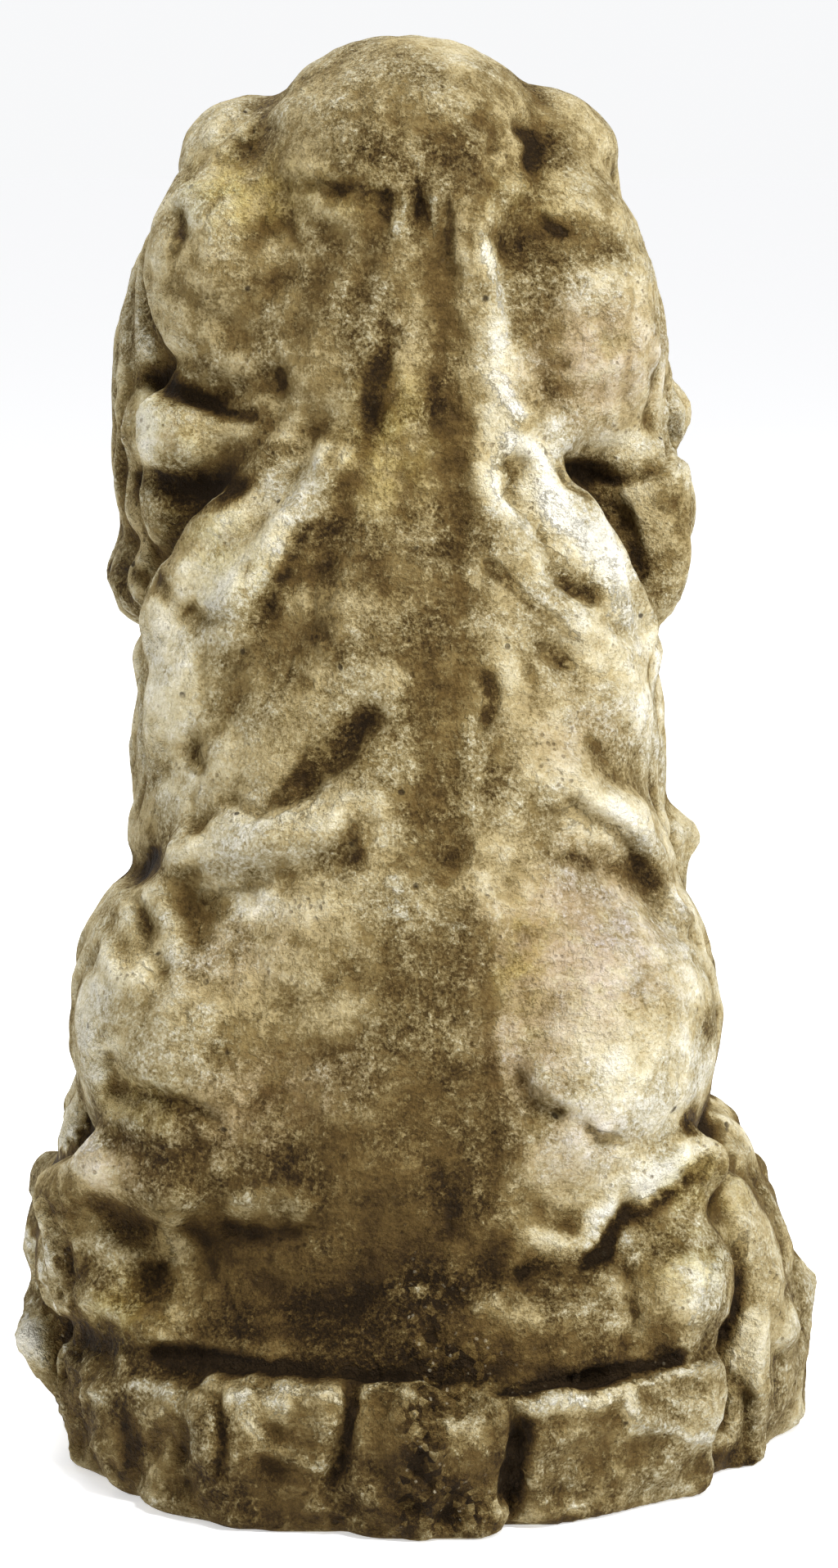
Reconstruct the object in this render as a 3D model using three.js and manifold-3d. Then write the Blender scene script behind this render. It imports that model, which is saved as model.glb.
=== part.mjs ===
// A seated long-eared dog cast in concrete in one piece with the rubble it sits on.
// Millimetres, +Z up. The dog looks along -Y, and its left side is at +X.
// The free forms are masses blended into one body, carved with strokes, and netted into flat facets.
import * as THREE from "three";
import { SimplifyModifier } from "three/addons/modifiers/SimplifyModifier.js";
import { mergeVertices } from "three/addons/utils/BufferGeometryUtils.js";
import Module from "manifold-3d";

// Driving sizes
const BASE_WIDTH = 219; // across the boulders at the sides
const BASE_DEPTH = 242; // from the boulders under the paws to those behind the rump
const FORWARD = 3; // the base's middle lies this far before the dog's own
const BASE_HEIGHT = 40; // from the underside to the seat
const BOULDER_THICKNESS = 44; // of a boulder, inwards from the rim
const FIGURE_HEIGHT = 340; // from the seat to the crown of the head
const FIGURE_OFFSET = 4.4; // the dog sits this far to its left of the base's middle
const NET_STEP = 3.2; // grid on which the skin is first found
const FACETS = 9400; // flat faces kept of that skin
const CARVING_REACH = 10; // strokes are looked at this near the skin
const ROUNDING = 9; // of a boulder's edges
const BREAKS = 5; // broken faces on each boulder
const ASKEW = 6; // degrees by which a boulder's face may turn from the rim

// The figure's numbers are hundredths of its own height, from its place on the seat.
const UNIT = FIGURE_HEIGHT / 100;
const LEFT = 1;
const RIGHT = -1;
const GOLDEN_ANGLE = 2.4; // radians, so that no two neighbours face the same way

function outside({ low, high }, x, y, z) {
  return x < low[0] || y < low[1] || z < low[2] || x > high[0] || y > high[1] || z > high[2];
}

// Joins two signed distances with a fillet of about the size soft.
function blend(a, b, soft) {
  const near = Math.max(soft - Math.abs(a - b), 0) / soft;
  return Math.min(a, b) - (near * near * soft) / 4;
}

// What a mass needs besides its distance: the box it acts in and the fillet round it.
function mass(distance, low, high, soft) {
  return { distance, low: low.map((v) => v - soft), high: high.map((v) => v + soft), soft };
}

// The rows of the matrix that turns a point into a mass's own axes. Turns are degrees about X, Y and Z.
function axesOf(turn) {
  const euler = new THREE.Euler(...turn.map(THREE.MathUtils.degToRad), "XYZ");
  return new THREE.Matrix4().makeRotationFromEuler(euler).elements;
}

// A turned ellipsoid, in hundredths of the figure's height unless another scale is given.
function egg(centre, radii, turn = [0, 0, 0], soft = 3, scale = UNIT) {
  const c = centre.map((v) => v * scale);
  const r = radii.map((v) => v * scale);
  const m = axesOf(turn);
  const far = Math.max(...r);
  const distance = (x, y, z) => {
    const dx = x - c[0];
    const dy = y - c[1];
    const dz = z - c[2];
    const px = (dx * m[0] + dy * m[1] + dz * m[2]) / r[0];
    const py = (dx * m[4] + dy * m[5] + dz * m[6]) / r[1];
    const pz = (dx * m[8] + dy * m[9] + dz * m[10]) / r[2];
    const near = Math.hypot(px, py, pz);
    if (near < 1e-6) return -Math.min(...r);
    return (near * (near - 1)) / Math.hypot(px / r[0], py / r[1], pz / r[2]);
  };
  return mass(distance, c.map((v) => v - far), c.map((v) => v + far), soft * scale);
}

// A limb: a round bar through points [x, y, z, radius], tapering between them.
function limb(points, soft = 3) {
  const p = points.map((q) => q.map((v) => v * UNIT));
  const distance = (x, y, z) => {
    let best = Infinity;
    for (let i = 0; i + 1 < p.length; i++) {
      const [ax, ay, az, ar] = p[i];
      const [bx, by, bz, br] = p[i + 1];
      const [ex, ey, ez] = [bx - ax, by - ay, bz - az];
      const along = ((x - ax) * ex + (y - ay) * ey + (z - az) * ez) / (ex * ex + ey * ey + ez * ez);
      const t = Math.min(Math.max(along, 0), 1);
      const gap = Math.hypot(x - ax - t * ex, y - ay - t * ey, z - az - t * ez);
      best = Math.min(best, gap - (ar + t * (br - ar)));
    }
    return best;
  };
  const low = [0, 1, 2].map((k) => Math.min(...p.map((q) => q[k] - q[3])));
  const high = [0, 1, 2].map((k) => Math.max(...p.map((q) => q[k] + q[3])));
  return mass(distance, low, high, soft * UNIT);
}

// The faces where a boulder is broken: planes through its corners, as a normal and a distance.
function brokenFaces(half, seed) {
  return [...Array(BREAKS).keys()].map((i) => {
    const around = seed + i * GOLDEN_ANGLE;
    const rise = Math.sin(seed * 3 + i * 1.7);
    const normal = [Math.cos(rise) * Math.cos(around), Math.cos(rise) * Math.sin(around), Math.sin(rise)];
    const corner = normal.reduce((sum, v, k) => sum + Math.abs(v) * half[k], 0);
    return [...normal, corner * (0.86 - 0.08 * Math.sin(seed + i))];
  });
}

// A boulder: a block with rounded edges and broken faces, turned to its bearing and leaning out at the top.
function boulder(centre, half, bearing, lean, round, soft) {
  const euler = new THREE.Euler(0, THREE.MathUtils.degToRad(lean), THREE.MathUtils.degToRad(bearing), "ZYX");
  const m = new THREE.Matrix4().makeRotationFromEuler(euler).elements;
  const far = Math.hypot(...half);
  const faces = brokenFaces(half, bearing);
  const distance = (x, y, z) => {
    const [dx, dy, dz] = [x - centre[0], y - centre[1], z - centre[2]];
    const own = [0, 4, 8].map((row) => dx * m[row] + dy * m[row + 1] + dz * m[row + 2]);
    const q = own.map((v, k) => Math.abs(v) - half[k] + round);
    const block = Math.hypot(...q.map((v) => Math.max(v, 0))) + Math.min(Math.max(...q), 0) - round;
    return faces.reduce((d, [a, b, c, out]) => {
      const beyond = a * own[0] + b * own[1] + c * own[2] - out;
      return -blend(-d, -beyond, round / 3);
    }, block);
  };
  return mass(distance, centre.map((v) => v - far), centre.map((v) => v + far), soft);
}

// The trunk: rump, belly, ribs, chest and neck, and the coat that spreads on the seat.
function trunk() {
  return [
    egg([0, 10.5, 12], [20.5, 15.5, 17], [0, 0, 0], 5),
    egg([0, 8.5, 26], [20, 15, 15], [8, 0, 0], 8),
    egg([0, 3.5, 39], [19.6, 15.5, 15], [14, 0, 0], 8),
    egg([0, 0, 49], [19.6, 14, 14], [14, 0, 0], 8),
    egg([0, -13, 43], [15.5, 11, 18], [-8, 0, 0], 6),
    egg([0, -10, 17], [17, 14, 22], [0, 0, 0], 5),
    limb([[0, 0.5, 55, 13.5], [0, -2, 68, 12], [0, -4, 84, 12]], 6),
    egg([0, 6, 2.5], [26.5, 21, 8], [0, 0, 0], 5),
    egg([0, -17, -0.6], [24, 12.5, 5], [0, 0, 0], 4),
  ];
}

// The raised folds of the coat: the crest of the neck, the edges of the shoulder blades and the
// tops of the thighs.
function folds() {
  return [
    limb([[-5, 6, 86, 1.4], [-6.5, 5.5, 79, 1.8], [-8.6, 5.5, 74, 1.9], [-9.6, 6.2, 70, 1.9]], 2.6),
    limb([[7, 4, 70, 2], [12.5, 6, 63.4, 2.4], [16.6, 5, 57.4, 2.6], [19, 1.5, 51, 2.4]], 2.4),
    limb([[5, 9.4, 67, 1.4], [8.4, 11, 61, 1.8], [12.6, 11, 55.6, 2]], 2),
    limb([[-9, 5.4, 70, 2], [-12.6, 6.6, 64, 2.5], [-16, 6.4, 58.4, 2.6], [-19, 2, 52, 2.3]], 2.4),
    limb([[-6, 9.2, 65.6, 1.3], [-9.6, 10.6, 60, 1.5], [-14, 10.2, 55, 1.6]], 2.4),
    limb([[2.4, 19, 41.4, 1.6], [9.6, 18, 39, 2], [15.4, 14.6, 37, 2.2], [18, 13.6, 33, 2.2]], 2.4),
    limb([[-12.6, 14.6, 42.6, 1.4], [-17, 11.6, 39.8, 1.9], [-20.2, 8, 36, 1.9]], 3),
  ];
}

function shoulder(side) {
  return [
    egg([side * 11, 4, 56], [5.4, 6, 14], [12, side * -30, 0], 3.5),
    egg([side * 15, -7, 43], [6.8, 10, 14], [0, side * -4, 0], 4),
    egg([side * 17, 2, 35], [4.2, 7, 5], [0, side * 30, 0], 3),
  ];
}

// The leg under the body is filled in behind, as a casting is, so no gap shows between leg and belly.
function foreleg(side) {
  const elbow = side === LEFT ? [17.5, -9, 34] : [-22, -9.5, 33.6];
  const paw = [side * 11.5, -27, 3.6];
  const parts = [
    limb([[side * 14, -14, 40, 8], [side * 13, -18.5, 28, 7], [side * 12, -23, 15, 6.2]], 3),
    limb([[side * 12, -23, 15, 6.2], [side * 11.5, -25.5, 6, 6.2]], 3),
    egg([side * 13, -16, 14], [5.4, 8, 15], [0, 0, 0], 3),
    egg(elbow, [3, 3.6, 3.2], [0, side * 24, 0], 2.5),
    egg(paw, [7.2, 7.8, 4.8], [0, 0, side * -8], 2),
  ];
  for (let toe = 0; toe < 4; toe++) {
    const spread = toe - 1.5;
    const place = [paw[0] + spread * 3.4 + side * 0.6, paw[1] - 5.4 + Math.abs(spread) * 1.2, paw[2] - 0.4];
    parts.push(egg(place, [2.1, 3.8, 3.3], [0, 0, spread * 9], 0.6));
  }
  return parts;
}

function hindleg(side) {
  const foot = [side * 23.8, -12, 4];
  const parts = [
    egg([side === LEFT ? 14.8 : -14.3, 7, 19.5], [10.8, 18, 16], [-14, side * 16, side * 8], 3),
    egg([side * 19, -7, 22], [6.8, 9, 11], [0, 0, 0], 3),
    egg([side * 20.5, -1, 8], [6, 13, 7.5], [0, 0, 0], 3),
    limb([[side * 22, 12, 6, 5], [side * 25, 2, 5, 5], [foot[0], foot[1], foot[2], 5]], 3),
    egg([foot[0] + side, foot[1] - 4, foot[2] - 0.4], [5.8, 6.5, 4.2], [0, 0, side * 10], 1.5),
  ];
  for (let toe = 0; toe < 4; toe++) {
    const spread = toe - 1.5;
    const place = [foot[0] + side * 1.4 + spread * 2.9, foot[1] - 9 + Math.abs(spread), foot[2] - 1];
    parts.push(egg(place, [1.9, 3.3, 3], [0, 0, spread * 9], 0.6));
  }
  // Locks of coat that hang over the foot
  const wider = side === LEFT ? 0 : 1.8;
  for (const [y, z, out] of [[-8, 5, 25], [-2, 4, 26.4], [4, 4, 26.6], [9.5, 4, 25.4]])
    parts.push(egg([side * (out + wider), y, z], [3.2, 3.6, 5.4], [18, side * -18, 0], 1.8));
  const flare = side === LEFT ? [24.2, 2, 12.6] : [-25.2, 2, 10];
  parts.push(egg(flare, [3.5, 6.5, 5.1], [0, 0, 0], 1.8));
  return parts;
}

// The tail lies round the rump on the dog's right; on its left the heel shows as a curled lump.
function tail() {
  return [
    limb([[-2, 24.5, 3.4, 4.4], [-9, 25, 3, 4.4], [-17, 22.5, 3.4, 4.6]], 2.4),
    egg([-21.5, 17.5, 4.4], [4.2, 6, 5.2], [0, 0, 25], 1.4),
    egg([-26, 11, 6], [3, 4, 5.6], [0, 10, 0], 1.4),
  ];
}

function heel() {
  return [
    limb([[17, 21.5, 12.4, 2.8], [22, 17.5, 12.8, 3.4], [25.2, 13.5, 9.5, 3]], 1.5),
    limb([[25.2, 13.5, 9.5, 3], [24.6, 15.5, 3, 2.6], [18, 21.5, 2, 2.8]], 2),
  ];
}

function head() {
  return [
    egg([-0.6, -6, 88.6], [12.4, 14, 11.4], [0, 0, 0], 4),
    egg([0, -12, 80], [11, 11, 11], [0, 0, 0], 4),
    limb([[0, -15, 80.5, 7.6], [0, -26.5, 78.6, 5.6]], 3),
    egg([0, -21, 69.4], [5, 8, 3.6], [10, 0, 0], 1.2),
    egg([0, -28.4, 74.6], [2.6, 3.6, 4.4], [0, 0, 0], 1),
    egg([0, -31.2, 80.2], [3.5, 2.6, 2.9], [20, 0, 0], 0.8),
  ];
}

// A lip, a brow and an eye, whose lids run round the ball from its inner corner to its outer one.
function face(side) {
  const eye = [side * 6.6, -18, 83.8];
  const ball = 2.7;
  const lid = (open) => [0, 1, 2, 3, 4].map((i) => {
    const across = -Math.cos((Math.PI * i) / 4);
    const rise = open * Math.sin((Math.PI * i) / 4);
    const out = Math.sqrt(1 - 0.75 * across ** 2 - rise ** 2);
    return [eye[0] + side * ball * across, eye[1] - ball * out, eye[2] + ball * rise, 0.65];
  });
  return [
    egg([side * 4.4, -25.5, 74], [4, 6.8, 5.8], [0, side * -8, side * 6], 1.2),
    egg([side * 7.4, -15.5, 89], [4.4, 4, 2.2], [0, side * 14, side * -18], 2),
    egg(eye, [ball, ball, ball], [0, 0, 0], 0.4),
    limb(lid(0.62), 0.5),
    limb(lid(-0.55), 0.5),
  ];
}

// An ear: its folded root beside the crown, the sheet that hangs from it, the rolls at the back
// of its wavy lower part and the locks along its front.
function ear(side) {
  const rolls = {
    [LEFT]: [
      [[19.6, -4, 69, 3], [16.5, 1, 68.4, 3.5], [11.5, 2, 70, 2.6]],
      [[19.4, -5, 62.4, 3], [17, -1, 61.6, 3.1], [13.5, 0.5, 63.4, 2.2]],
      [[19.8, -8, 56.4, 4.2], [18.6, -3.5, 56.4, 3.3]],
    ],
    [RIGHT]: [
      [[20.4, -8, 69.2, 3.5], [19.6, -4, 70.2, 2.6]],
      [[18.8, -6.5, 62, 5.5], [18, -3, 57.6, 4.5]],
    ],
  };
  const raised = side === LEFT ? 0 : 0.6;
  const sheet = side === LEFT ? egg([13.2, -3.6, 82], [7.2, 9, 9.4], [0, -16, 0], 2.4)
    : egg([-14, -3.4, 79], [7, 9, 12.6], [0, 14, 0], 2.4);
  return [
    egg([side * 12.5, -8, 91 + raised], [5.3, 7, 4], [0, side * 32, 0], 1.4),
    limb([[side * 13, -11.5, 90, 3.8], [side * 15.2, -13, 84, 3.8], [side * 17, -13, 77, 4.2]], 2.4),
    sheet,
    egg([side * 8, -2, 72], [8, 8.5, 13], [0, 0, 0], 4),
    egg([side * 14, -7, 64], [4.6, 6, 9], [0, 0, 0], 3),
    egg([side * 18.4 + 0.9, -10, 72], [4.2, 8, 14], [0, side * -5, 0], 2.4),
    ...rolls[side].map((points) => limb(points.map(([x, ...rest]) => [side * x, ...rest]), 1.2)),
    ...[0, 1, 2].map((row) => {
      const lock = [side * 19.6, -15 + row * 2.4, 71 - row * 6.5];
      return egg(lock, [3.2, 3.8, 6], [-24, 0, 0], 1.8);
    }),
  ];
}

// The rubble base, in millimetres: a core and a slab below the dog, and a ring of boulders round the rim.
// A boulder runs between two bearings, in degrees from the dog's left round by its back. Its top is
// a share of the base's height, and it leans out by its last number of degrees.
function base() {
  const across = BASE_WIDTH / 2;
  const along = BASE_DEPTH / 2;
  const inset = BOULDER_THICKNESS / 2;
  const buried = 5;
  const boulders = [
    [-14, 23, 1.2, 25],
    [24, 45, 1.03, 15],
    [47, 62, 0.98, 4],
    [62, 80, 1.04, 7],
    [81, 93, 0.93, 4],
    [95, 103, 0.98, 3],
    [105, 141, 1.06, 14],
    [149, 186, 1.22, 6],
    [188, 212, 1.06, 12],
    [214, 238, 0.92, 10],
    [240, 262, 0.86, 6],
    [264, 284, 0.97, 8],
    [286, 308, 0.84, 6],
    [310, 344, 1.04, 12],
  ];
  const ring = boulders.map(([from, to, tall, lean]) => {
    const bearing = (from + to) / 2;
    const turn = THREE.MathUtils.degToRad(bearing);
    const span = THREE.MathUtils.degToRad(to - from) * (across + along - BOULDER_THICKNESS) * 0.25;
    const half = [inset, span + 3, (BASE_HEIGHT * tall + buried) / 2];
    const out = inset + half[2] * Math.sin(THREE.MathUtils.degToRad(lean)) * 0.6 + span ** 2 / (4 * across);
    const x = (across - out) * Math.cos(turn);
    const y = (along - out) * Math.sin(turn) - FORWARD;
    const askew = ASKEW * Math.sin(bearing);
    return boulder([x, y, half[2] - buried], half, bearing + askew, lean, ROUNDING, 4);
  });
  const core = [across * 0.9, along * 0.9, BASE_HEIGHT * 0.9];
  const slab = [across * 0.66, along * 0.66, BASE_HEIGHT * 0.5];
  return [
    egg([0, -FORWARD, BASE_HEIGHT * 0.1], core, [0, 0, 0], 6, 1),
    boulder([0, -FORWARD, BASE_HEIGHT * 0.48], slab, 0, 0, ROUNDING, 6),
    ...ring,
  ];
}

// Strokes of the carving. Each is drawn through a few places as the sculptor sees them from one side:
// [x, z] from the back or front, [y, z] from the dog's left or right. It is width wide, and stands up
// by lift, or is cut in where lift is negative.
const SIDES = {
  back: { across: [1, 0], from: [0, 1] },
  front: { across: [1, 0], from: [0, -1] },
  left: { across: [0, 1], from: [1, 0] },
  right: { across: [0, 1], from: [-1, 0] },
};

function neckCarving() {
  return [
    // The edge of the coat over each ear root, and the folds of the roots
    ["back", [[9.5, 95.5], [13.5, 92.5], [17, 89]], 0.9, -1.1],
    ["back", [[-10.5, 95.5], [-14, 93], [-16.5, 89.5]], 0.9, -1.1],
    ["back", [[-6.5, 93.5], [-8.5, 91.5], [-10, 90]], 1, -1.3],
    ["back", [[-5.5, 91], [-7, 89], [-8, 88]], 0.9, -1],
    ["back", [[-0.5, 89.5], [-0.5, 86.5]], 0.8, -0.8],
    ["back", [[-2, 87], [-2, 84.5]], 0.8, -0.8],
    ["back", [[2, 86.5], [1.5, 84]], 0.8, -0.7],
    ["back", [[9.5, 88], [6, 88.5], [3.5, 87]], 0.8, -0.7],
    ["back", [[12, 84], [8, 86], [4, 84]], 1.2, -0.6],
    // The crest of the neck, with the groove of the spine beside it
    ["back", [[-2.6, 86], [-3.6, 76], [-4, 67], [-4, 61]], 1.5, -1.3],
    ["back", [[-3.5, 58], [-2.5, 49], [-2.5, 43], [-4, 36]], 1.6, -1],
    ["back", [[-4.5, 34], [-4, 25], [-4, 17], [-3.5, 10]], 1.3, -0.4],
    ["back", [[2.5, 82], [3.5, 75], [6.5, 69], [7, 64]], 1.4, -0.6],
  ];
}

function earCarving() {
  const strokes = [
    ["back", [[23, 74.4], [18.5, 72.8], [15.5, 72.2], [10.6, 73.2]], 1.1, -2.2],
    ["back", [[22.6, 66], [18.5, 64.9], [13, 65.6]], 1, -1.8],
    ["back", [[22.8, 60], [20, 58.8], [17.5, 60]], 0.8, -1],
    ["back", [[19, 86], [16, 84], [18, 80]], 1, -0.8],
    ["back", [[16, 79], [12, 76.5], [8, 77]], 1.2, -0.7],
    ["back", [[-9, 83.5], [-13, 85], [-17, 83.5]], 1.3, -1],
    ["back", [[-9.5, 67], [-15, 66], [-20.5, 67.5]], 1.2, -1.6],
    ["back", [[-19.5, 75], [-21, 72], [-22.5, 70.5]], 0.8, -0.9],
    ["back", [[-14, 78], [-15, 72], [-13, 69]], 2, 0.6],
  ];
  for (const side of ["left", "right"])
    for (let lock = 0; lock < 5; lock++) {
      const y = -15 + lock * 3.4;
      const waves = [[-9 + lock, 88], [y - 1, 80], [y + 1.4, 72], [y - 0.6, 64], [y + 1, 55]];
      strokes.push([side, waves, 0.8, -0.9]);
    }
  return strokes;
}

function backCarving() {
  return [
    // The shoulder blades stand clear of the ears
    ["back", [[10, 70.5], [15.6, 64], [20, 57]], 1.2, -2],
    ["back", [[-11.6, 70], [-15.8, 64.6], [-19.4, 58.6]], 1.2, -2],
    ["back", [[6.5, 65], [8, 61.5], [12, 59]], 0.9, -0.9],
    ["back", [[10.5, 56.5], [14.5, 55], [17, 55.5]], 0.9, -0.9],
    ["back", [[4.5, 66], [6, 58], [9, 52]], 1.4, -0.6],
    ["back", [[-6.5, 64], [-9.5, 60], [-14, 56]], 0.9, -1],
    ["back", [[-9.5, 62.5], [-13, 59], [-15.5, 57]], 0.8, -0.8],
    ["back", [[-6, 54], [-8, 46], [-6, 38]], 1.6, -0.5],
    ["back", [[2.5, 48], [6, 45], [8.5, 42.5]], 1.1, -1.4],
    ["back", [[12.5, 42.5], [15, 40.5], [17, 38.5]], 0.9, -0.9],
    ["back", [[12, 50], [15, 46], [18, 44]], 1, -0.5],
    ["back", [[-14, 50], [-16, 44], [-19, 42]], 1.1, -0.6],
    // The top of each thigh, the waist above it and the folds of the flank
    ["back", [[5, 37.6], [10, 35.6], [14.5, 33.8]], 1.6, -0.7],
    ["back", [[22, 35], [18.8, 35.8], [16, 34], [15.5, 31.5]], 1.1, -1.8],
    ["back", [[22.7, 31.5], [21, 29.5]], 0.8, -1],
    ["back", [[20, 33], [18.5, 30], [19, 27.5]], 0.8, -0.9],
    ["back", [[-12.6, 40], [-15, 37.6], [-18.2, 35], [-21, 31]], 1.3, -0.9],
    ["back", [[-20.5, 38.5], [-22, 36.5], [-22.5, 33]], 0.8, -1.2],
    // The folds low on the rump, and its scalloped edge over the tail
    ["back", [[-9, 21], [-10, 18.5], [-12, 17.5]], 0.7, -1],
    ["back", [[-12.7, 18.8], [-15.5, 16.5]], 0.7, -0.6],
    ["back", [[-4, 8.5], [-8.5, 10.6], [-11, 8.8], [-14, 9], [-16, 11.5], [-18, 13.6], [-22, 14]], 1.1, 1.3],
    ["back", [[-4, 5.6], [-8.5, 7.4], [-11, 5.8], [-14, 6], [-17, 8.4], [-20.5, 10.6], [-24, 11.6]], 1, -1.2],
    ["back", [[22.5, 19.5], [19, 19.3], [16.5, 18.5], [15.5, 16]], 0.9, -1.2],
    ["back", [[22.5, 9.5], [20.5, 8], [18.5, 4.5]], 1.7, -1.5],
    ["back", [[12.5, 11.8], [7.8, 12.2]], 1.3, 0.9],
    ["back", [[13.5, 9.8], [10, 9], [6.5, 10.4]], 0.8, -0.7],
    ["back", [[11, 6], [6, 4.5], [2, 5.5]], 1.2, -0.5],
    ["back", [[-17.3, 7], [-17.8, 4], [-17.5, 0.5]], 0.8, -1],
    ["back", [[-23.8, 8], [-24, 4]], 0.8, -1],
  ];
}

// The front is plainer than the back: a furrowed brow, mouth, nostrils and pupils, locks on the chest,
// and folds on both flanks.
function frontCarving() {
  const strokes = [
    ["front", [[0, 90], [0, 84.5]], 1.3, -0.7],
    ["front", [[0, 77.6], [0, 73.5]], 0.6, -0.8],
  ];
  for (const side of [LEFT, RIGHT]) {
    const lip = [[side * 1.4, 72.4], [side * 3.4, 70.6], [side * 6.5, 70.4], [side * 9, 73]];
    strokes.push(["front", lip, 0.6, -0.7]);
    strokes.push(["front", [[side * 1.7, 80], [side * 1.9, 79.2]], 0.5, -1.2]);
    strokes.push(["front", [[side * 6.1, 84], [side * 6.3, 83.8]], 0.7, -0.7]);
    for (let lock = 0; lock < 4; lock++) {
      const x = side * (1.8 + lock * 3.3);
      const tip = 34 + 4 * (lock % 2);
      const waves = [[x, 62 - lock * 2], [x + side, 56], [x * 0.8, 49], [x * 0.9 + side, 42], [x * 0.6, tip]];
      strokes.push(["front", waves, 0.8, -0.9]);
    }
  }
  for (const side of ["left", "right"]) {
    // The thigh's front edge, folds across the flank and the feather behind the foreleg
    strokes.push([side, [[-17, 16], [-15.5, 25], [-11, 31.5], [-4, 34.5], [3, 34.5]], 1, -1.3]);
    for (let fold = 0; fold < 4; fold++) {
      const y = -6 + fold * 5;
      strokes.push([side, [[y - 4, 10 + fold], [y, 16], [y + 1, 23 + fold], [y + 4, 29]], 1, -0.7]);
      const rib = y - 6;
      strokes.push([side, [[rib - 1, 56 - fold], [rib + 2, 49], [rib + 1, 42 - fold]], 1, -0.7]);
    }
    for (let lock = 0; lock < 4; lock++) {
      const y = -11 - lock;
      const z = 25 - lock * 6;
      strokes.push([side, [[y - 1, z + 9], [y + 1, z + 4], [y, z]], 0.7, -0.8]);
    }
  }
  return strokes;
}

const masses = [
  ...trunk(),
  ...folds(),
  ...[LEFT, RIGHT].flatMap((side) => [...shoulder(side), ...hindleg(side), ...foreleg(side)]),
  ...tail(),
  ...heel(),
  ...head(),
  ...[LEFT, RIGHT].flatMap((side) => [...face(side), ...ear(side)]),
];
const stones = base();

function gather(d, list, x, y, z) {
  for (const m of list) {
    if (outside(m, x, y, z)) continue;
    d = blend(d, m.distance(x, y, z), m.soft);
  }
  return d;
}

// The signed distance to the masses, before they are carved.
function body(x, y, z) {
  return gather(gather(1e3, masses, x - FIGURE_OFFSET, y, z - BASE_HEIGHT), stones, x, y, z);
}

// Where a stroke's place meets the masses, coming in from its own side.
function onSkin({ across, from }, a, b) {
  const at = (out) => [
    FIGURE_OFFSET + across[0] * a + from[0] * out,
    across[1] * a + from[1] * out,
    BASE_HEIGHT + b,
  ];
  let out = BASE_DEPTH / 2 + CARVING_REACH;
  while (out > 0) {
    const gap = body(...at(out));
    if (gap < 0.2) return at(out);
    out -= Math.min(Math.max(gap * 0.5, 0.3), 1);
  }
  return null;
}

function stroke([side, places, width, lift]) {
  const curve = new THREE.SplineCurve(places.map(([a, b]) => new THREE.Vector2(a, b).multiplyScalar(UNIT)));
  const path = curve.getPoints(4 * (places.length - 1)).map(({ x, y }) => onSkin(SIDES[side], x, y));
  const p = path.filter(Boolean);
  const reach = 2.2 * width * UNIT;
  const low = [0, 1, 2].map((k) => Math.min(...p.map((q) => q[k])) - reach);
  const high = [0, 1, 2].map((k) => Math.max(...p.map((q) => q[k])) + reach);
  return (x, y, z) => {
    if (outside({ low, high }, x, y, z)) return 0;
    let best = Infinity;
    for (let i = 0; i + 1 < p.length; i++) {
      const [ex, ey, ez] = [p[i + 1][0] - p[i][0], p[i + 1][1] - p[i][1], p[i + 1][2] - p[i][2]];
      const along = (x - p[i][0]) * ex + (y - p[i][1]) * ey + (z - p[i][2]) * ez;
      const t = Math.min(Math.max(along / (ex * ex + ey * ey + ez * ez + 1e-9), 0), 1);
      const gap = (x - p[i][0] - t * ex) ** 2 + (y - p[i][1] - t * ey) ** 2 + (z - p[i][2] - t * ez) ** 2;
      best = Math.min(best, gap);
    }
    return lift * UNIT * Math.exp(-best / (width * UNIT) ** 2);
  };
}

const strokes = [...neckCarving(), ...earCarving(), ...backCarving(), ...frontCarving()].map(stroke);

// Uneven weathering: the boulders are rougher than the dog.
function weathering(x, y, z) {
  const swell = Math.sin(x / 9 + 2 * Math.sin(z / 13)) * Math.sin(y / 8 + 1.5 * Math.sin(x / 17));
  return (z < BASE_HEIGHT ? 2 : 0.6) * swell * Math.sin(z / 10 + y / 21);
}

// The signed distance to the whole casting, with its carving.
function casting(x, y, z) {
  const d = body(x, y, z);
  if (Math.abs(d) > CARVING_REACH) return d;
  return strokes.reduce((rest, height) => rest - height(x, y, z), d - weathering(x, y, z));
}

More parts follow.
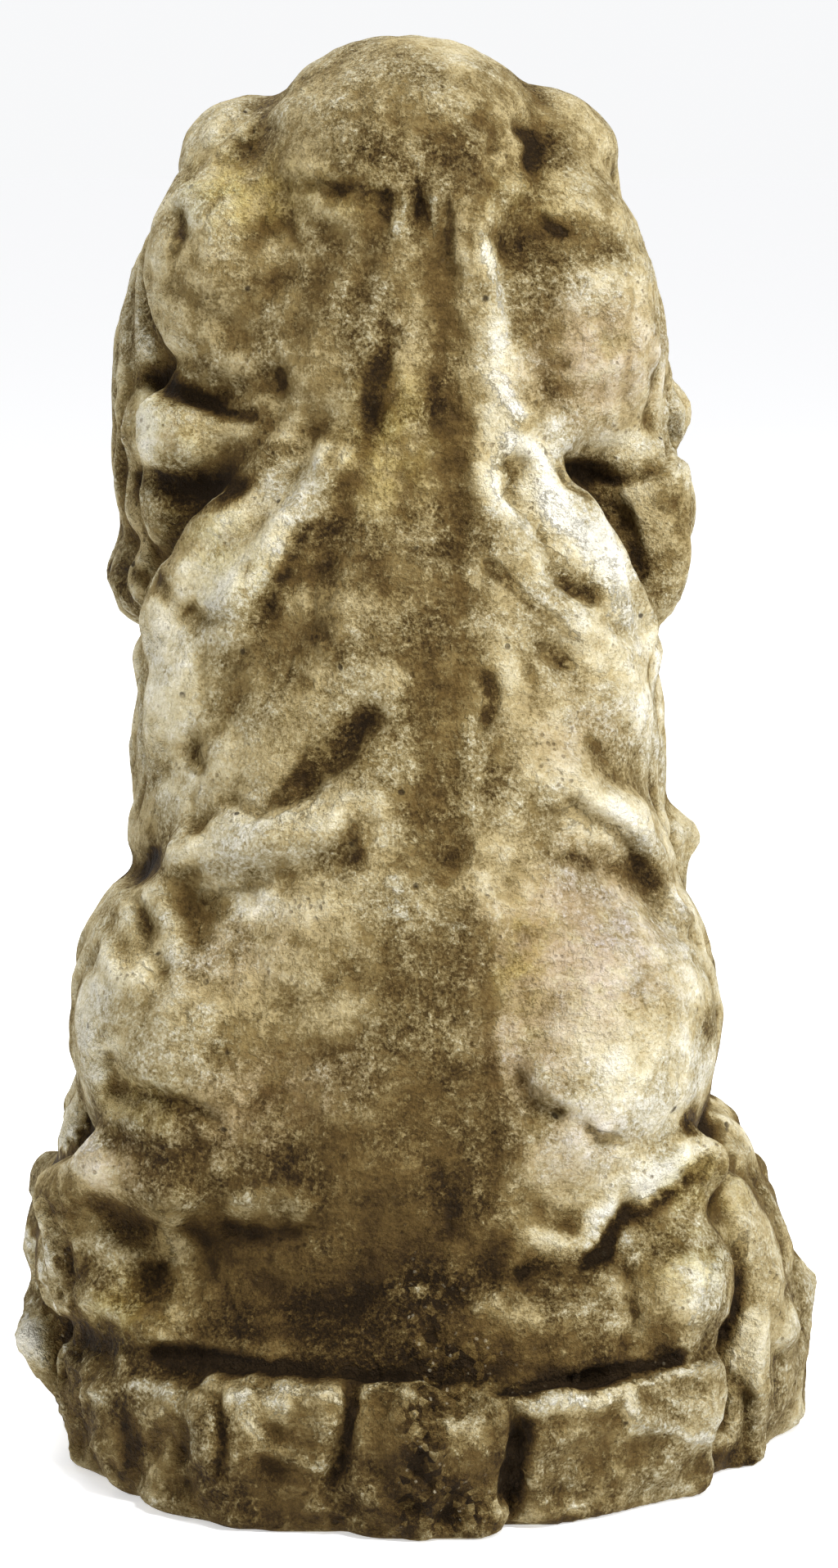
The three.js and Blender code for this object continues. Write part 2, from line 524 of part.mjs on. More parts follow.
// The skin between the body and the air, one vertex to each grid cell that it crosses.
function skin(field, low, high, step) {
  const [nx, ny, nz] = low.map((v, k) => Math.ceil((high[k] - v) / step) + 1);
  const strides = [1, nx, nx * ny];
  const index = (i, j, k) => i + nx * (j + ny * k);
  const value = new Float64Array(nx * ny * nz);
  const each = (visit, short) => {
    for (let k = 0; k + short < nz; k++)
      for (let j = 0; j + short < ny; j++)
        for (let i = 0; i + short < nx; i++) visit(i, j, k);
  };
  const eachCell = (visit) => each(visit, 1);
  const place = (cell, k) => low[k] + cell * step;
  each((i, j, k) => {
    value[index(i, j, k)] = field(place(i, 0), place(j, 1), place(k, 2));
  }, 0);

  // Where two parts of the skin would touch across a square of the grid, the square is filled.
  for (let open = true; open; ) {
    open = false;
    eachCell((i, j, k) => {
      const here = index(i, j, k);
      for (const [u, w] of [[1, nx], [nx, nx * ny], [1, nx * ny]]) {
        const square = [here, here + u, here + u + w, here + w];
        const [a, b, c, d] = square.map((corner) => value[corner] < 0);
        if (a === b || a !== c || b !== d) continue;
        const [p, q] = a ? [square[1], square[3]] : [square[0], square[2]];
        value[value[p] < value[q] ? p : q] = -0.01 * step;
        open = true;
      }
    });
  }

  const corners = [0, 1, 2, 3, 4, 5, 6, 7].map((c) => [c & 1, (c >> 1) & 1, c >> 2]);
  const edges = [1, 2, 4].flatMap((bit) => corners.map((_, a) => [a, a | bit]).filter(([a, b]) => a !== b));
  const points = [];
  const vertexOf = new Map();
  eachCell((i, j, k) => {
    const v = corners.map(([a, b, c]) => value[index(i + a, j + b, k + c)]);
    const crossed = edges.filter(([a, b]) => v[a] < 0 !== v[b] < 0);
    if (!crossed.length) return;
    vertexOf.set(index(i, j, k), points.length / 3);
    [i, j, k].forEach((cell, d) => {
      const along = ([a, b]) => corners[a][d] + (v[a] / (v[a] - v[b])) * (corners[b][d] - corners[a][d]);
      const sum = crossed.reduce((total, edge) => total + along(edge), 0);
      points.push(place(cell + sum / crossed.length, d));
    });
  });

  const triangles = [];
  eachCell((i, j, k) => {
    if (!i || !j || !k) return;
    const here = index(i, j, k);
    strides.forEach((stride, axis) => {
      const inside = value[here] < 0;
      if (inside === value[here + stride] < 0) return;
      const u = strides[(axis + 1) % 3];
      const w = strides[(axis + 2) % 3];
      const ring = [here - u - w, here - w, here, here - u].map((cell) => vertexOf.get(cell));
      if (!inside) ring.reverse();
      const [a, b, c, d] = ring;
      triangles.push(a, b, c, a, c, d);
    });
  });
  const geometry = new THREE.BufferGeometry();
  geometry.setAttribute("position", new THREE.BufferAttribute(new Float32Array(points), 3));
  geometry.setIndex(triangles);
  return geometry;
}

const wasm = await Module();
wasm.setup();

function solidOf(geometry) {
  return new wasm.Manifold(
    new wasm.Mesh({
      numProp: 3,
      vertProperties: geometry.attributes.position.array,
      triVerts: new Uint32Array(geometry.index.array),
    }),
  );
}

// Everything above the ground, as a block that cuts the body off flat.
function aboveGround(width, depth, height) {
  const block = new THREE.BoxGeometry(width, depth, height);
  block.translate(0, 0, height / 2);
  block.deleteAttribute("normal");
  block.deleteAttribute("uv");
  return solidOf(mergeVertices(block));
}

// The casting, cut flat below and set over the middle of its own bounds. All of it that counts is less
// than the base's height below the ground.
async function statueGeometry() {
  const shift = [FIGURE_OFFSET, 0, BASE_HEIGHT];
  const least = (k) => Math.min(...stones.map((m) => m.low[k]), ...masses.map((m) => m.low[k] + shift[k]));
  const most = (k) => Math.max(...stones.map((m) => m.high[k]), ...masses.map((m) => m.high[k] + shift[k]));
  const low = [least(0), least(1), -BASE_HEIGHT];
  const high = [0, 1, 2].map(most);
  const netted = skin(casting, low, high, NET_STEP);
  const spare = netted.attributes.position.count - FACETS / 2;
  const faceted = await new SimplifyModifier().modify(netted, spare);
  const block = aboveGround(2 * BASE_WIDTH, 2 * BASE_DEPTH, high[2]);
  const cut = solidOf(faceted).intersect(block).getMesh();
  const geometry = new THREE.BufferGeometry();
  geometry.setAttribute("position", new THREE.BufferAttribute(cut.vertProperties, 3));
  geometry.setIndex(new THREE.BufferAttribute(cut.triVerts, 1));
  geometry.computeBoundingBox();
  const { min, max } = geometry.boundingBox;
  geometry.translate(-(min.x + max.x) / 2, -(min.y + max.y) / 2, -min.z);
  geometry.computeVertexNormals();
  return geometry;
}

const concrete = new THREE.MeshStandardMaterial({ color: 0xa89f86, roughness: 0.9, metalness: 0 });
const statue = new THREE.Mesh(await statueGeometry(), concrete);
statue.name = "dog_statue";

const group = new THREE.Group();
group.add(statue);

export default group;
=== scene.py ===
"""A seated long-eared dog cast in concrete on a ring of rubble, seen from behind on a pale studio floor."""

import math

import bpy
import numpy as np
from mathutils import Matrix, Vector


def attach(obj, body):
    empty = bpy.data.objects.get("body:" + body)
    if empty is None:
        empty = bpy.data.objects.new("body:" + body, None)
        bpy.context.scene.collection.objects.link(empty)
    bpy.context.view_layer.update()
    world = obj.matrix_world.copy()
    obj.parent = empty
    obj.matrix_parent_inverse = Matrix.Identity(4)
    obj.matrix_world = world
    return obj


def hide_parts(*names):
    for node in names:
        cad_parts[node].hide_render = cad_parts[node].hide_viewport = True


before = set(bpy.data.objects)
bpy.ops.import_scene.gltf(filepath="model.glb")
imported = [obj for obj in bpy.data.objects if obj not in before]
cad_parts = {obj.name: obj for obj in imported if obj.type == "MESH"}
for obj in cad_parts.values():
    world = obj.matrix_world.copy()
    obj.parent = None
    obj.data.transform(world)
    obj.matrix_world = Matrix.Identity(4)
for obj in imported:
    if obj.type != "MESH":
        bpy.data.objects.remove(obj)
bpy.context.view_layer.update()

# Sizes in millimetres, as in the CAD
MM = 0.001
BASE_WIDTH = 219
BASE_DEPTH = 242
FORWARD = 3
BASE_HEIGHT = 40
BOULDER_THICKNESS = 44
FIGURE_HEIGHT = 340
FIGURE_OFFSET = 4.4
CARVING_REACH = 10
WORN_BACK = 0.55
FILL_REACH = 9
ROUNDING = 9
BREAKS = 5
ASKEW = 6
UNIT = FIGURE_HEIGHT / 100
LEFT = 1
RIGHT = -1
GOLDEN_ANGLE = 2.4

# The grid on which the form is found
NET_STEP = 2.0
NET_LOW = np.array([-122.0, -138.0, -10.0])
NET_HIGH = np.array([122.0, 130.0, 390.0])

# The stand from which the back is seen, in millimetres, and the size of the sketch of it
STAND = np.array([-1.5, 1300.0, 376.0])
PITCH = math.radians(8.67)
SKETCH = (1024, 1915)
FOCAL = 5884
SENSOR = 36

# How far a mark's edge wanders on the sketch
CUT_SHAKE = 11
MARK_SHAKE = 16
ROUGH_SHAKE = 20
STAIN_SHAKE = 26

# The studio, in metres and amounts of light
ROOM = 13
COOL_WHITE = (0.985, 0.99, 1, 1)
FLOOR_GLOW = 0.52
PAPER_GLOW = 0.94
ROOM_GLOW = 0.5


def blend(a, b, soft):
    """Joins two signed distances with a fillet of about the size soft."""
    near = np.maximum(soft - np.abs(a - b), 0) / soft
    return np.minimum(a, b) - near * near * soft / 4


def turning(axis, degrees):
    c, s = math.cos(math.radians(degrees)), math.sin(math.radians(degrees))
    return {
        "x": np.array([[1, 0, 0], [0, c, -s], [0, s, c]]),
        "y": np.array([[c, 0, s], [0, 1, 0], [-s, 0, c]]),
        "z": np.array([[c, -s, 0], [s, c, 0], [0, 0, 1]]),
    }[axis]


def own_axes(matrix, centre, x, y, z):
    """A point's places along a mass's own three axes."""
    dx, dy, dz = x - centre[0], y - centre[1], z - centre[2]
    return [dx * matrix[0, k] + dy * matrix[1, k] + dz * matrix[2, k] for k in range(3)]


def length(*parts):
    return np.sqrt(sum(part * part for part in parts))


def mass(distance, low, high, soft):
    """A mass acts only in its box, and joins what is there with a fillet."""
    return distance, np.array(low) - soft, np.array(high) + soft, soft


def egg(centre, radii, turn=(0, 0, 0), soft=3, scale=UNIT):
    c = np.array(centre) * scale
    r = np.array(radii) * scale
    matrix = turning("x", turn[0]) @ turning("y", turn[1]) @ turning("z", turn[2])

    def distance(x, y, z):
        p = [along / size for along, size in zip(own_axes(matrix, c, x, y, z), r)]
        near = np.maximum(length(*p), 1e-6)
        return near * (near - 1) / np.maximum(length(*[v / size for v, size in zip(p, r)]), 1e-9)

    return mass(distance, c - r.max(), c + r.max(), soft * scale)


def limb(points, soft=3, scale=UNIT):
    """A round bar through points (x, y, z, radius)."""
    p = np.array(points, dtype=float) * scale

    def distance(x, y, z):
        best = np.inf
        for a, b in zip(p[:-1], p[1:]):
            e = b[:3] - a[:3]
            along = ((x - a[0]) * e[0] + (y - a[1]) * e[1] + (z - a[2]) * e[2]) / (e @ e)
            t = np.clip(along, 0, 1)
            gap = length(x - a[0] - t * e[0], y - a[1] - t * e[1], z - a[2] - t * e[2])
            best = np.minimum(best, gap - (a[3] + t * (b[3] - a[3])))
        return best

    radii = p[:, 3:]
    return mass(distance, (p[:, :3] - radii).min(0), (p[:, :3] + radii).max(0), soft * scale)


def boulder(centre, half, bearing, lean, soft):
    """A block with rounded edges and broken faces, turned to its bearing and leaning out at the top."""
    matrix = turning("z", bearing) @ turning("y", lean)
    faces = []
    for i in range(BREAKS):
        around = bearing + i * GOLDEN_ANGLE
        rise = math.sin(bearing * 3 + i * 1.7)
        normal = [math.cos(rise) * math.cos(around), math.cos(rise) * math.sin(around), math.sin(rise)]
        corner = sum(abs(v) * h for v, h in zip(normal, half))
        faces.append((normal, corner * (0.86 - 0.08 * math.sin(bearing + i))))

    def distance(x, y, z):
        own = own_axes(matrix, centre, x, y, z)
        q = [np.abs(v) - h + ROUNDING for v, h in zip(own, half)]
        inner = np.minimum(np.maximum(np.maximum(q[0], q[1]), q[2]), 0)
        d = length(*[np.maximum(v, 0) for v in q]) + inner - ROUNDING
        for normal, out in faces:
            beyond = normal[0] * own[0] + normal[1] * own[1] + normal[2] * own[2] - out
            d = -blend(-d, -beyond, ROUNDING / 3)
        return d

    far = length(*half)
    return mass(distance, np.array(centre) - far, np.array(centre) + far, soft)


def trunk():
    """Rump, belly, ribs, chest and neck, the coat that spreads on the seat, and the ground before it."""
    return [
        egg((0, 10.5, 12), (20.5, 15.5, 17), soft=5),
        egg((0, 8.5, 26), (20, 15, 15), (8, 0, 0), 8),
        egg((0, 3.5, 39), (19.6, 15.5, 15), (14, 0, 0), 8),
        egg((0, 0, 49), (19.6, 14, 14), (14, 0, 0), 8),
        egg((0, -13, 43), (15.5, 11, 18), (-8, 0, 0), 6),
        egg((0, -10, 17), (17, 14, 22), soft=5),
        limb([(0, 0.5, 55, 13.5), (0, -2, 68, 12), (0, -4, 84, 12)], 6),
        egg((0, 6, 2.5), (26.5, 21, 8), soft=5),
        egg((0, -17, -0.6), (24, 12.5, 5), soft=4),
    ]


def folds():
    """The crest of the neck, the edges of the shoulder blades and the tops of the thighs."""
    return [
        limb([(-5, 6, 86, 1.4), (-6.5, 5.5, 79, 1.8), (-8.6, 5.5, 74, 1.9), (-9.6, 6.2, 70, 1.9)], 2.6),
        limb([(7, 4, 70, 2), (12.5, 6, 63.4, 2.4), (16.6, 5, 57.4, 2.6), (19, 1.5, 51, 2.4)], 2.4),
        limb([(5, 9.4, 67, 1.4), (8.4, 11, 61, 1.8), (12.6, 11, 55.6, 2)], 2),
        limb([(-9, 5.4, 70, 2), (-12.6, 6.6, 64, 2.5), (-16, 6.4, 58.4, 2.6), (-19, 2, 52, 2.3)], 2.4),
        limb([(-6, 9.2, 65.6, 1.3), (-9.6, 10.6, 60, 1.5), (-14, 10.2, 55, 1.6)], 2.4),
        limb([(2.4, 19, 41.4, 1.6), (9.6, 18, 39, 2), (15.4, 14.6, 37, 2.2), (18, 13.6, 33, 2.2)], 2.4),
        limb([(-12.6, 14.6, 42.6, 1.4), (-17, 11.6, 39.8, 1.9), (-20.2, 8, 36, 1.9)], 3),
    ]


def shoulder(side):
    return [
        egg((side * 11, 4, 56), (5.4, 6, 14), (12, side * -30, 0), 3.5),
        egg((side * 15, -7, 43), (6.8, 10, 14), (0, side * -4, 0), 4),
        egg((side * 17, 2, 35), (4.2, 7, 5), (0, side * 30, 0), 3),
    ]


def foreleg(side):
    elbow = (17.5, -9, 34) if side == LEFT else (-22, -9.5, 33.6)
    paw = (side * 11.5, -27, 3.6)
    parts = [
        limb([(side * 14, -14, 40, 8), (side * 13, -18.5, 28, 7), (side * 12, -23, 15, 6.2)], 3),
        limb([(side * 12, -23, 15, 6.2), (side * 11.5, -25.5, 6, 6.2)], 3),
        egg((side * 13, -16, 14), (5.4, 8, 15), soft=3),
        egg(elbow, (3, 3.6, 3.2), (0, side * 24, 0), 2.5),
        egg(paw, (7.2, 7.8, 4.8), (0, 0, side * -8), 2),
    ]
    for toe in range(4):
        spread = toe - 1.5
        place = (paw[0] + spread * 3.4 + side * 0.6, paw[1] - 5.4 + abs(spread) * 1.2, paw[2] - 0.4)
        parts.append(egg(place, (2.1, 3.8, 3.3), (0, 0, spread * 9), 0.6))
    return parts


def hindleg(side):
    foot = (side * 23.8, -12, 4)
    parts = [
        egg((14.8 if side == LEFT else -14.3, 7, 19.5), (10.8, 18, 16), (-14, side * 16, side * 8), 3),
        egg((side * 19, -7, 22), (6.8, 9, 11), soft=3),
        egg((side * 20.5, -1, 8), (6, 13, 7.5), soft=3),
        limb([(side * 22, 12, 6, 5), (side * 25, 2, 5, 5), (*foot, 5)], 3),
        egg((foot[0] + side, foot[1] - 4, foot[2] - 0.4), (5.8, 6.5, 4.2), (0, 0, side * 10), 1.5),
    ]
    for toe in range(4):
        spread = toe - 1.5
        place = (foot[0] + side * 1.4 + spread * 2.9, foot[1] - 9 + abs(spread), foot[2] - 1)
        parts.append(egg(place, (1.9, 3.3, 3), (0, 0, spread * 9), 0.6))
    # Locks of coat that hang over the foot
    wider = 0 if side == LEFT else 1.8
    for y, z, out in ((-8, 5, 25), (-2, 4, 26.4), (4, 4, 26.6), (9.5, 4, 25.4)):
        parts.append(egg((side * (out + wider), y, z), (3.2, 3.6, 5.4), (18, side * -18, 0), 1.8))
    flare = (24.2, 2, 12.6) if side == LEFT else (-25.2, 2, 10)
    parts.append(egg(flare, (3.5, 6.5, 5.1), soft=1.8))
    return parts


def tail_and_heel():
    """The tail lies round the rump on the dog's right; on its left the heel shows as a curled lump."""
    return [
        limb([(-2, 24.5, 3.4, 4.4), (-9, 25, 3, 4.4), (-17, 22.5, 3.4, 4.6)], 2.4),
        egg((-21.5, 17.5, 4.4), (4.2, 6, 5.2), (0, 0, 25), 1.4),
        egg((-26, 11, 6), (3, 4, 5.6), (0, 10, 0), 1.4),
        limb([(17, 21.5, 12.4, 2.8), (22, 17.5, 12.8, 3.4), (25.2, 13.5, 9.5, 3)], 1.5),
        limb([(25.2, 13.5, 9.5, 3), (24.6, 15.5, 3, 2.6), (18, 21.5, 2, 2.8)], 2),
    ]


def head():
    return [
        egg((-0.6, -6, 88.6), (12.4, 14, 11.4), soft=4),
        egg((0, -12, 80), (11, 11, 11), soft=4),
        limb([(0, -15, 80.5, 7.6), (0, -26.5, 78.6, 5.6)], 3),
        egg((0, -21, 69.4), (5, 8, 3.6), (10, 0, 0), 1.2),
        egg((0, -28.4, 74.6), (2.6, 3.6, 4.4), soft=1),
        egg((0, -31.2, 80.2), (3.5, 2.6, 2.9), (20, 0, 0), 0.8),
    ]


def face(side):
    """A lip, a brow and an eye, whose lids run round the ball from its inner corner to its outer one."""
    eye = (side * 6.6, -18, 83.8)
    ball = 2.7

    def lid(opening):
        points = []
        for i in range(5):
            across = -math.cos(math.pi * i / 4)
            rise = opening * math.sin(math.pi * i / 4)
            out = math.sqrt(1 - 0.75 * across ** 2 - rise ** 2)
            points.append((eye[0] + side * ball * across, eye[1] - ball * out, eye[2] + ball * rise, 0.65))
        return limb(points, 0.5)

    return [
        egg((side * 4.4, -25.5, 74), (4, 6.8, 5.8), (0, side * -8, side * 6), 1.2),
        egg((side * 7.4, -15.5, 89), (4.4, 4, 2.2), (0, side * 14, side * -18), 2),
        egg(eye, (ball, ball, ball), soft=0.4),
        lid(0.62),
        lid(-0.55),
    ]


def ear(side):
    """The folded root beside the crown, the sheet below it, the rolls at its back and the locks in front."""
    left = side == LEFT
    rolls = [
        [(19.6, -4, 69, 3), (16.5, 1, 68.4, 3.5), (11.5, 2, 70, 2.6)],
        [(19.4, -5, 62.4, 3), (17, -1, 61.6, 3.1), (13.5, 0.5, 63.4, 2.2)],
        [(19.8, -8, 56.4, 4.2), (18.6, -3.5, 56.4, 3.3)],
    ] if left else [
        [(20.4, -8, 69.2, 3.5), (19.6, -4, 70.2, 2.6)],
        [(18.8, -6.5, 62, 5.5), (18, -3, 57.6, 4.5)],
    ]
    sheet = egg((13.2, -3.6, 82), (7.2, 9, 9.4), (0, -16, 0), 2.4) if left \
        else egg((-14, -3.4, 79), (7, 9, 12.6), (0, 14, 0), 2.4)
    raised = 0 if left else 0.6
    parts = [
        egg((side * 12.5, -8, 91 + raised), (5.3, 7, 4), (0, side * 32, 0), 1.4),
        limb([(side * 13, -11.5, 90, 3.8), (side * 15.2, -13, 84, 3.8), (side * 17, -13, 77, 4.2)], 2.4),
        sheet,
        egg((side * 8, -2, 72), (8, 8.5, 13), soft=4),
        egg((side * 14, -7, 64), (4.6, 6, 9), soft=3),
        egg((side * 18.4 + 0.9, -10, 72), (4.2, 8, 14), (0, side * -5, 0), 2.4),
    ]
    parts += [limb([(side * x, *rest) for x, *rest in points], 1.2) for points in rolls]
    for row in range(3):
        lock = (side * 19.6, -15 + row * 2.4, 71 - row * 6.5)
        parts.append(egg(lock, (3.2, 3.8, 6), (-24, 0, 0), 1.8))
    return parts


def base():
    """The rubble, in millimetres: a core, a slab below the dog, and boulders round the rim.
    A boulder runs between two bearings, in degrees from the dog's left round by its back. Its top is
    a share of the base's height, and it leans out by its last number of degrees."""
    across = BASE_WIDTH / 2
    along = BASE_DEPTH / 2
    inset = BOULDER_THICKNESS / 2
    buried = 5
    core = (across * 0.9, along * 0.9, BASE_HEIGHT * 0.9)
    slab = (across * 0.66, along * 0.66, BASE_HEIGHT * 0.5)
    stones = [
        egg((0, -FORWARD, BASE_HEIGHT * 0.1), core, soft=6, scale=1),
        boulder((0, -FORWARD, BASE_HEIGHT * 0.48), slab, 0, 0, 6),
    ]
    for start, end, tall, lean in (
        (-14, 23, 1.2, 25), (24, 45, 1.03, 15), (47, 62, 0.98, 4), (62, 80, 1.04, 7), (81, 93, 0.93, 4),
        (95, 103, 0.98, 3), (105, 141, 1.06, 14), (149, 186, 1.22, 6), (188, 212, 1.06, 12),
        (214, 238, 0.92, 10), (240, 262, 0.86, 6), (264, 284, 0.97, 8), (286, 308, 0.84, 6),
        (310, 344, 1.04, 12),
    ):
        bearing = (start + end) / 2
        turn = math.radians(bearing)
        span = math.radians(end - start) * (across + along - BOULDER_THICKNESS) * 0.25
        half = (inset, span + 3, (BASE_HEIGHT * tall + buried) / 2)
        out = inset + half[2] * math.sin(math.radians(lean)) * 0.6 + span ** 2 / (4 * across)
        x = (across - out) * math.cos(turn)
        y = (along - out) * math.sin(turn) - FORWARD
        askew = ASKEW * math.sin(bearing)
        stones.append(boulder((x, y, half[2] - buried), half, bearing + askew, lean, 4))
    return stones


def packing():
    """Concrete that stands in the deepest hollows of the back, in millimetres."""
    return [
        # Inside the curled heel, and along the seam of the rump and the rubble
        egg((73, 58, 62), (14, 13, 20), soft=8, scale=1),
        limb([(64, 70, 43, 7), (45, 84, 43, 7), (25, 91, 42, 7), (5, 95, 41, 7), (-10, 96, 41, 7)], 10, 1),
        limb([(-15, 97, 44, 6), (-35, 94, 43, 6), (-54, 89, 41, 6)], 4, 1),
        # Between the haunch, the tail's end and the foot
        limb([(-76, 60, 86, 7), (-66, 67, 76, 8), (-57, 74, 68, 8)], 8, 1),
        boulder((-66, 76, 52), (13, 11, 15), 124, 10, 3),
        # Between the stones
        egg((73, 74, 18), (10, 9, 20), soft=6, scale=1),
        egg((48, 99, 19), (10, 10, 20), soft=6, scale=1),
        egg((-2, 111, 20), (10, 9, 22), soft=4, scale=1),
        egg((-24, 104, 33), (7, 9, 8), soft=4, scale=1),
        # Behind the rolls of the ears
        egg((58, 2, 282), (16, 9, 10), (0, 20, 0), 6, 1),
        egg((58, 0, 258), (16, 9, 12), soft=6, scale=1),
        egg((-60, -4, 259), (16, 9, 15), soft=8, scale=1),
        egg((-64, -3, 238), (11, 9, 16), soft=8, scale=1),
    ]


# Strokes of the carving, drawn through a few places as seen from one side, in hundredths of the figure's
# height: (side, places, width, lift), raised by lift or cut in where it is negative.
SIDES = {
    "back": ((1, 0), (0, 1)),
    "front": ((1, 0), (0, -1)),
    "left": ((0, 1), (1, 0)),
    "right": ((0, 1), (-1, 0)),
}


def neck_carving():
    return [
        ("back", ((-6.5, 93.5), (-8.5, 91.5), (-10, 90)), 1, -1.3),
        ("back", ((-5.5, 91), (-7, 89), (-8, 88)), 0.9, -1),
        ("back", ((-0.5, 89.5), (-0.5, 86.5)), 0.8, -0.8),
        ("back", ((-2, 87), (-2, 84.5)), 0.8, -0.8),
        ("back", ((2, 86.5), (1.5, 84)), 0.8, -0.7),
        ("back", ((9.5, 88), (6, 88.5), (3.5, 87)), 0.8, -0.7),
        ("back", ((12, 84), (8, 86), (4, 84)), 1.2, -0.6),
        # The crest of the neck, with the groove of the spine beside it
        ("back", ((-2.6, 86), (-3.6, 76), (-4, 67), (-4, 61)), 1.5, -1.3),
        ("back", ((-3.5, 58), (-2.5, 49), (-2.5, 43), (-4, 36)), 1.6, -1),
        ("back", ((-4.5, 34), (-4, 25), (-4, 17), (-3.5, 10)), 1.3, -0.4),
        ("back", ((2.5, 82), (3.5, 75), (6.5, 69), (7, 64)), 1.4, -0.6),
    ]


def ear_carving():
    strokes = [
        ("back", ((23, 74.4), (18.5, 72.8), (15.5, 72.2), (10.6, 73.2)), 1.1, -2.2),
        ("back", ((22.6, 66), (18.5, 64.9), (13, 65.6)), 1, -1.8),
        ("back", ((22.8, 60), (20, 58.8), (17.5, 60)), 0.8, -1),
        ("back", ((19, 86), (16, 84), (18, 80)), 1, -0.8),
        ("back", ((16, 79), (12, 76.5), (8, 77)), 1.2, -0.7),
        ("back", ((-9, 83.5), (-13, 85), (-17, 83.5)), 1.3, -1),
        ("back", ((-9.5, 67), (-15, 66), (-20.5, 67.5)), 1.2, -1.6),
        ("back", ((-19.5, 75), (-21, 72), (-22.5, 70.5)), 0.8, -0.9),
        ("back", ((-14, 78), (-15, 72), (-13, 69)), 2, 0.6),
    ]
    for side in ("left", "right"):
        for lock in range(5):
            y = -15 + lock * 3.4
            waves = ((-9 + lock, 88), (y - 1, 80), (y + 1.4, 72), (y - 0.6, 64), (y + 1, 55))
            strokes.append((side, waves, 0.8, -0.9))
    return strokes


def back_carving():
    raised_edge = ((-4, 8.5), (-8.5, 10.6), (-11, 8.8), (-14, 9), (-16, 11.5), (-18, 13.6), (-22, 14))
    under_edge = ((-4, 5.6), (-8.5, 7.4), (-11, 5.8), (-14, 6), (-17, 8.4), (-20.5, 10.6), (-24, 11.6))
    return [
        # The shoulder blades stand clear of the ears
        ("back", ((10, 70.5), (15.6, 64), (20, 57)), 1.2, -2),
        ("back", ((-11.6, 70), (-15.8, 64.6), (-19.4, 58.6)), 1.2, -2),
        ("back", ((6.5, 65), (8, 61.5), (12, 59)), 0.9, -0.9),
        ("back", ((10.5, 56.5), (14.5, 55), (17, 55.5)), 0.9, -0.9),
        ("back", ((4.5, 66), (6, 58), (9, 52)), 1.4, -0.6),
        ("back", ((-6.5, 64), (-9.5, 60), (-14, 56)), 0.9, -1),
        ("back", ((-9.5, 62.5), (-13, 59), (-15.5, 57)), 0.8, -0.8),
        ("back", ((-6, 54), (-8, 46), (-6, 38)), 1.6, -0.5),
        ("back", ((2.5, 48), (6, 45), (8.5, 42.5)), 1.1, -1.4),
        ("back", ((12.5, 42.5), (15, 40.5), (17, 38.5)), 0.9, -0.9),
        ("back", ((12, 50), (15, 46), (18, 44)), 1, -0.5),
        ("back", ((-14, 50), (-16, 44), (-19, 42)), 1.1, -0.6),
        # The top of each thigh, the waist above it and the folds of the flank
        ("back", ((5, 37.6), (10, 35.6), (14.5, 33.8)), 1.6, -0.7),
        ("back", ((22, 35), (18.8, 35.8), (16, 34), (15.5, 31.5)), 1.1, -1.8),
        ("back", ((22.7, 31.5), (21, 29.5)), 0.8, -1),
        ("back", ((20, 33), (18.5, 30), (19, 27.5)), 0.8, -0.9),
        ("back", ((-12.6, 40), (-15, 37.6), (-18.2, 35), (-21, 31)), 1.3, -0.9),
        ("back", ((-20.5, 38.5), (-22, 36.5), (-22.5, 33)), 0.8, -1.2),
        # The folds low on the rump, and its scalloped edge over the tail
        ("back", ((-9, 21), (-10, 18.5), (-12, 17.5)), 0.7, -1),
        ("back", ((-12.7, 18.8), (-15.5, 16.5)), 0.7, -0.6),
        ("back", raised_edge, 1.1, 1.3),
        ("back", under_edge, 1, -1.2),
        ("back", ((22.5, 19.5), (19, 19.3), (16.5, 18.5), (15.5, 16)), 0.9, -1.2),
        ("back", ((22.5, 9.5), (20.5, 8), (18.5, 4.5)), 1.7, -1.5),
        ("back", ((12.5, 11.8), (7.8, 12.2)), 1.3, 0.9),
        ("back", ((13.5, 9.8), (10, 9), (6.5, 10.4)), 0.8, -0.7),
        ("back", ((11, 6), (6, 4.5), (2, 5.5)), 1.2, -0.5),
        ("back", ((-17.3, 7), (-17.8, 4), (-17.5, 0.5)), 0.8, -1),
        ("back", ((-23.8, 8), (-24, 4)), 0.8, -1),
    ]


